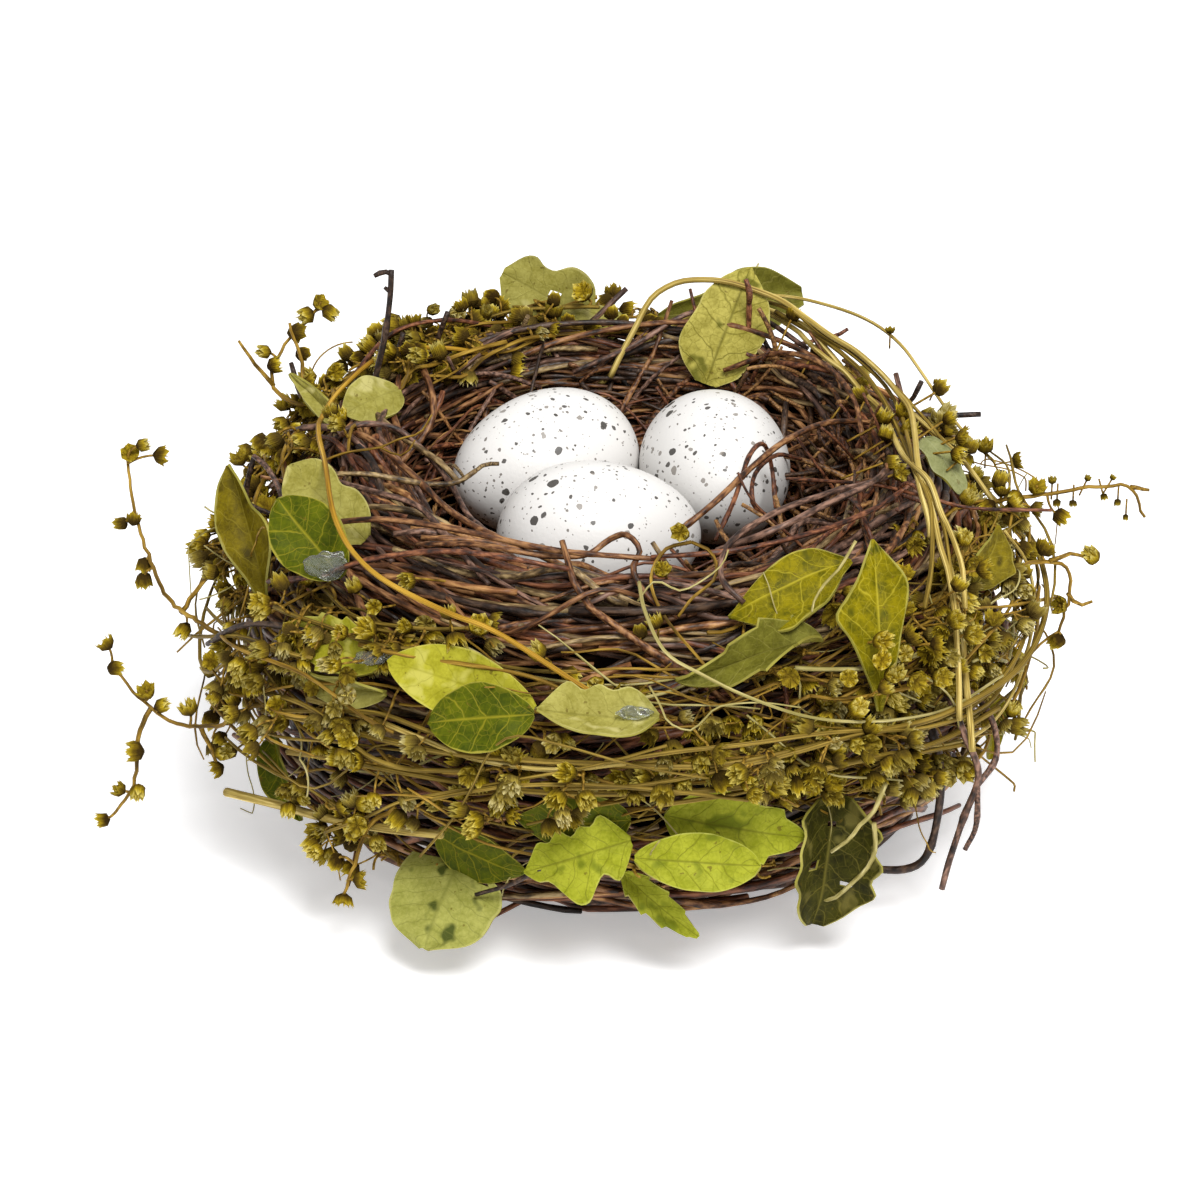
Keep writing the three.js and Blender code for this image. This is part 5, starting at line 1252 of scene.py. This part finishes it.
# sprays that stand out from the wall: main stems, then heads
sprays = {
    "sprayLeftLow": ("spray_left_low", [[(-50, -41, 35), (-56, -40, 33.6), (-62, -36, 28.5), (-69, -31, 26.4),
        (-75, -28, 29.4), (-79, -26.4, 34)], [(-73, -28.6, 27.8), (-75, -30, 23.5), (-76, -31, 16),
        (-79, -31, 11)], [(-65, -33, 27), (-63.5, -33, 23), (-62.5, -33, 19.5)]], [(-80, -25, 37.4),
        (-78.4, -26.4, 33.6), (-73.6, -29, 31), (-71, -30, 29), (-66.8, -32, 29.6), (-75.5, -31, 21.4),
        (-78.6, -31, 15), (-75.4, -31.4, 14.6), (-81.4, -31, 9.4), (-63, -33, 19.4), (-61.6, -33.4, 22.4),
        (-59.6, -35, 32.6), (-56.4, -38, 35.4)]),
    "sprayLeftHigh": ("spray_left_high", [[(-60, -24, 37), (-65, -24, 40), (-71, -15, 40), (-74.5, -9, 44),
        (-77, -5, 51), (-78, -2, 57.6)], [(-69, -18, 39), (-65, -16, 44), (-61, -12, 47)]], [(-77.6, -2, 59.4),
        (-75.2, -2, 60.8), (-72.6, -2, 59), (-79.4, -5, 48.6), (-75.6, -8, 42.6), (-75.6, -9, 40.4),
        (-77, -6, 50), (-68.4, -20, 37)]),
    "sprayBackLeft": ("spray_back_left", [[(-50, 18, 59), (-54.5, 19, 60), (-57, 22, 62.4), (-55.6, 25, 66),
        (-50.5, 27, 71.6)], [(-56.6, 21, 61.6), (-59, 21, 64.6), (-62, 21, 69.4)], [(-52, 19, 59.4),
        (-52, 23, 64), (-54, 25, 71)]], [(-49, 27.5, 73.6), (-51.4, 27, 71.6), (-53, 26, 69), (-58.4, 24, 66.4),
        (-52, 25, 65.6), (-56.4, 23, 64.4), (-50.4, 22, 62), (-47.6, 27, 72)]),
    "sprayRightHigh": ("spray_right_high", [[(49, -10, 51), (54, -9, 53.6), (59, -10, 54.8), (66, -10, 55.7),
        (71.4, -10, 56.8), (76.1, -10, 57.2), (79.2, -10, 57), (81.8, -10, 51.9)], [(79.2, -10, 57),
        (82.2, -10, 56.5)], [(62, -10, 55.2), (64, -10, 49), (63.6, -12, 44.6)]], [(59.2, -10, 56.8),
        (61.3, -10, 55.1), (64.7, -10, 57.2), (62.5, -10, 52.8), (68.7, -10, 51.9), (60.7, -10, 52.2),
        (56.8, -10, 50.7), (58.8, -10, 58.2), (57, -11, 54)]),
    "sprayRightLow": ("spray_right_low", [[(56, -22, 44), (60, -20, 47), (66, -18, 48), (69.3, -17.5, 46),
        (69.5, -17, 41), (68.4, -17, 35.4)], [(66.2, -18, 48), (69.6, -17.4, 48.8), (72.4, -17, 48)],
        [(69.5, -17, 42), (71.4, -17, 40), (73.4, -17, 40.6)]], [(65.5, -17.5, 50), (72.8, -17, 48.5),
        (68.2, -17, 40), (68.2, -17, 33.8), (62.2, -20, 28.4), (62, -19, 44)]),
    "sprayLowLeft": ("spray_low_left", [[(-34, -54, 24), (-38, -54, 21), (-40, -57, 16.4), (-42, -58, 11)]],
        [(-42, -58, 10), (-43, -55.4, 15.4), (-39, -58.4, 14), (-36.6, -58, 20)]),
}
rng = np.random.default_rng(seeds["sprays"])
for name, (node, mains, heads) in sprays.items():
    stems = []
    paths = [smoothPath(corners, 1.2) for corners in mains]
    for path in paths:
        path[1:-1] += rng.normal(0, 0.12, path[1:-1].shape)
        stems.append((path, np.linspace(0.42, 0.24, len(path)), 0))
    mainPoints = np.vstack(paths)
    places = []
    for head in heads:
        head = np.array(head, float)
        gaps = np.linalg.norm(mainPoints - head, axis=1) + rng.uniform(0, 1.2, len(mainPoints))
        nearest = mainPoints[np.argmin(gaps)]
        reach = head - nearest
        distance = max(np.linalg.norm(reach), 0.6)
        side = np.cross(reach / distance, rng.normal(size=3)) * 0.28 * distance
        t = np.linspace(0, 1, 7)[:, None]
        stalk = nearest + reach * t + side * t * (1 - t) * 2
        stems.append((stalk, np.linspace(0.24, 0.18, 7), 0))
        end = stalk[-1] - stalk[-2] + rng.normal(0, 0.1, 3)
        places.append((head - unit(end) * 1.4, end, rng.uniform(0.78, 1.0), rng.uniform(0, 0.5)))
    finishPiece(stemPiece(name + "Stems", stems, [stalkFinish], sides=6), "straw")
    scatterHeads(name, places, flowerFinishes[0], "flower", [node], seed=9)
print("nest: sprays placed")

# single heads on thin stalks that lie over the front of the rim and the right leaves
looseHeads = {
    "stems": [[(16, -62, 46), (11, -57, 50), (6, -51, 54), (4, -47, 58), (6, -44, 61.5), (10, -43, 62.4)],
        [(10, -43, 62.4), (13, -44, 61), (13.5, -46, 58), (10, -49, 56), (8, -51, 54)], [(56, -38, 46),
        (48, -50, 44), (40, -56, 44.4), (32, -60, 45), (27, -61, 46)], [(27, -61, 46), (24, -61, 44),
        (23, -61, 40)]],
    "heads": [(8.6, -43.4, 64), (5.6, -46.4, 59), (5, -55, 54), (2.4, -54, 52), (-4, -61, 48), (-1, -60, 46.6),
        (1.6, -59, 46.6), (-31, -44, 57), (-39.6, -42, 53.6), (-36.6, -44, 52), (-31.6, -48, 50.6),
        (32.6, -60.4, 48), (37.4, -58.6, 50), (37.8, 18, 62.4), (38.9, 12, 62.4), (40.8, 2, 62.7),
        (41, -4, 62.3), (44.1, 2, 63.7), (44.4, -3, 63.1), (40.4, -12, 61.9), (42.1, -16, 61.8),
        (28.1, 36, 67.3), (31.5, 32, 62.5), (49.7, 6, 66.4), (50.5, 0, 63.9), (52.3, -3, 62.4),
        (51.4, -6, 61.3), (54.1, -5, 60.5), (52.1, -20, 58.5), (51, -34, 58), (43.1, -33, 58.1),
        (41.4, -42, 55.9), (41.5, -48, 53), (41.3, -53, 51), (41.2, -54, 49.2), (36.6, -57, 52.9),
        (38.4, -58.5, 48), (36.9, -60, 46.3), (42.2, -56, 46.5), (45.9, -54, 45.5), (48.8, -46, 55.8),
        (55.4, -38, 46.5), (50.6, -48, 49.7), (24.4, -60.6, 48.8), (39.4, -58.6, 47.4), (44.8, -54, 51),
        (47.8, -50, 52.4), (33.4, -60, 43)],
}
rng = np.random.default_rng(seeds["loose"])
stems = [(smoothPath(corners, 1.2), 0.3, 0) for corners in looseHeads["stems"]]
places = []
for head in looseHeads["heads"]:
    head = np.array(head, float)
    inward = -head * [1, 1, 0] / np.linalg.norm(head[:2]) + [0, 0, -0.7] + rng.normal(0, 0.3, 3)
    stalk = head + inward * np.linspace(0, 1, 6)[:, None] * 5
    stems.append((stalk[::-1], 0.2, 0))
    places.append((head, -inward + rng.normal(0, 0.5, 3), rng.uniform(0.8, 1.0), rng.uniform(0, 0.6)))
finishPiece(stemPiece("looseStalks", stems, [stalkFinish], sides=4), "straw")
scatterHeads("looseHeads", places, flowerFinishes[0], "flower", seed=12)

# small buds on the far arch and seed pods at the end of the right spray: (place, direction, size)
buds = [
    ((44.4, 33, 66), (0, 0, 1), 0.5),
    ((51.5, 24, 60.2), (0.4, 0, 1), 0.5),
    ((52.8, 22, 55.2), (-0.6, 0, 0.4), 0.6),
    ((54.6, 20, 53), (-0.5, 0, -0.6), 0.7),
    ((56.3, 17, 51.4), (0, -0.5, -1), 0.8),
    ((59, 14, 52.6), (0, 0, 1), 0.9),
    ((61, 13, 50), (0.5, 0, -1), 0.9),
    ((63, 12, 52), (1, 0, 0.2), 0.8),
    ((54.3, 20, 50.3), (0, 0, -1), 0.6),
    ((67, -10, 57.5), (0, 0, 1), 0.5),
    ((67.9, -10, 55), (0, 0, -1), 0.45),
    ((70.4, -10, 54.8), (0, 0, -1), 0.4),
    ((72.3, -10, 58), (0.4, 0, 1), 0.4),
    ((75, -10, 55.9), (0.3, 0, -1), 0.4),
    ((76.2, -10, 58.2), (0.5, 0, 1), 0.35),
    ((77.4, -10, 55), (0, 0, -1), 0.4),
    ((78.8, -10, 52.4), (0, 0, -1), 0.35),
]
stems, places = [], []
for place, heading, size in buds:
    place, heading = np.array(place, float), unit(heading)
    stems.append((place - heading * np.linspace(2.6, 0, 4)[:, None], 0.15, 0))
    places.append((place, heading, size, rng.uniform(0.1, 0.6)))
finishPiece(stemPiece("budStalks", stems, [stalkFinish], sides=4), "straw")
scatterHeads("buds", places, flowerFinishes[1], "flower", seed=17)
print("nest: loose heads and buds placed")

# thin curly tendrils in and around the garlands
tendrils = {"count": 170, "around": (-165, 200), "length": (8, 26), "radius": (0.1, 0.19),
    "share": (0.35, 0.85), "curl": (0.08, 0.2), "reach": 69}
rng = np.random.default_rng(seeds["tendrils"])
stems = []
for _ in range(tendrils["count"]):
    degrees = rng.uniform(*tendrils["around"])
    share = rng.uniform(*tendrils["share"])
    base = wallPoints(degrees, share, rng.uniform(2, 6))
    outward = base * [1, 1, 0] / np.linalg.norm(base[:2])
    heading = (outward * rng.uniform(0.0, 0.6) + roundTheNest(degrees) * rng.choice([-1, 1])
               + np.array([0, 0, rng.normal(0, 0.5)]))
    path = curlPath(rng, base, heading, rng.uniform(*tendrils["length"]), rng.uniform(*tendrils["curl"]))
    path[:, 2] = np.maximum(path[:, 2], 0.5)
    path[:, :2] *= np.minimum(1, tendrils["reach"] / np.hypot(path[:, 0], path[:, 1]))[:, None]
    stems.append((path, rng.uniform(*tendrils["radius"]), int(rng.random() < 0.5)))
finishPiece(stemPiece("tendrils", stems, [stalkFinish, tendrilFinish], sides=4), "straw")
print("nest: tendrils grown")


# eggs
eggShape = {"length": 32, "radius": 12, "taper": 0.12}
# solid, centre in mm, the way its narrow end points, turn about its length
eggs = {
    "frontEgg": ("egg_front", (-3.7, -12.6, 49.6), (1, 0.05, 0.02), 0.6),
    "backLeftEgg": ("egg_back_left", (-12.4, 13.6, 50.7), (-0.86, -0.5, -0.02), 2.1),
    "backRightEgg": ("egg_back_right", (15.3, 10, 51.4), (0.16, -1, 0.06), 4.0),
}
for name, (node, centre, pointsTo, spin) in eggs.items():
    bpy.ops.object.select_all(action="DESELECT")
    bpy.ops.mesh.primitive_uv_sphere_add(segments=72, ring_count=48, radius=mm)
    piece = nameNew(name)
    bpy.ops.object.mode_set(mode="EDIT")
    bpy.ops.mesh.select_all(action="SELECT")
    bpy.ops.transform.resize(value=(eggShape["radius"], eggShape["radius"], eggShape["length"] / 2))
    bpy.ops.object.mode_set(mode="OBJECT")
    for vertex in piece.data.vertices:
        along = vertex.co.z / (eggShape["length"] / 2 * mm)
        vertex.co.x *= 1 - eggShape["taper"] * along
        vertex.co.y *= 1 - eggShape["taper"] * along
    piece.data.transform(Matrix.Rotation(spin, 4, "Z"))
    piece.data.transform(Vector(pointsTo).to_track_quat("Z", "X").to_matrix().to_4x4())
    piece.data.transform(Matrix.Translation(Vector(centre) * mm))
    piece.data.materials.append(eggFinish)
    selectOnly(piece)
    bpy.ops.object.shade_smooth()
    finishPiece(piece, "eggshell", node)
print("nest: eggs laid")

# blobs of clear glue: place and size in mm
glueBlobs = [
    ((-44, -39.5, 57.1), (6.4, 1.2, 4.2)),
    ((1.5, -67.6, 46.6), (4.6, 1.6, 1.8)),
    ((-37, -52.5, 48), (5, 2.4, 2.4)),
    ((17, 44, 54.6), (3.6, 1.8, 2.4)),
    ((-52, -26, 53), (2.2, 1.4, 2.4)),
    ((24, -49, 53), (2.2, 1.2, 1.4)),
]
for i, (place, size) in enumerate(glueBlobs):
    bpy.ops.object.select_all(action="DESELECT")
    bpy.ops.mesh.primitive_ico_sphere_add(subdivisions=4, radius=1)
    piece = nameNew(f"glueBlob{i + 1}")
    for vertex in piece.data.vertices:
        swell = 1 + 0.45 * noise.noise(vertex.co * 1.7 + Vector((i * 5, 0, 0)))
        vertex.co = Vector([(place[k] + vertex.co[k] * size[k] * 0.5 * swell) * mm for k in range(3)])
    piece.data.materials.append(glueFinish)
    selectOnly(piece)
    bpy.ops.object.shade_smooth()
    finishPiece(piece, "eggshell")
print("nest: glue set")

triangles = sum(sum(len(f.vertices) - 2 for f in o.data.polygons)
                for o in bpy.data.objects if o.type == "MESH" and not o.hide_render)
print("nest: triangles", triangles)
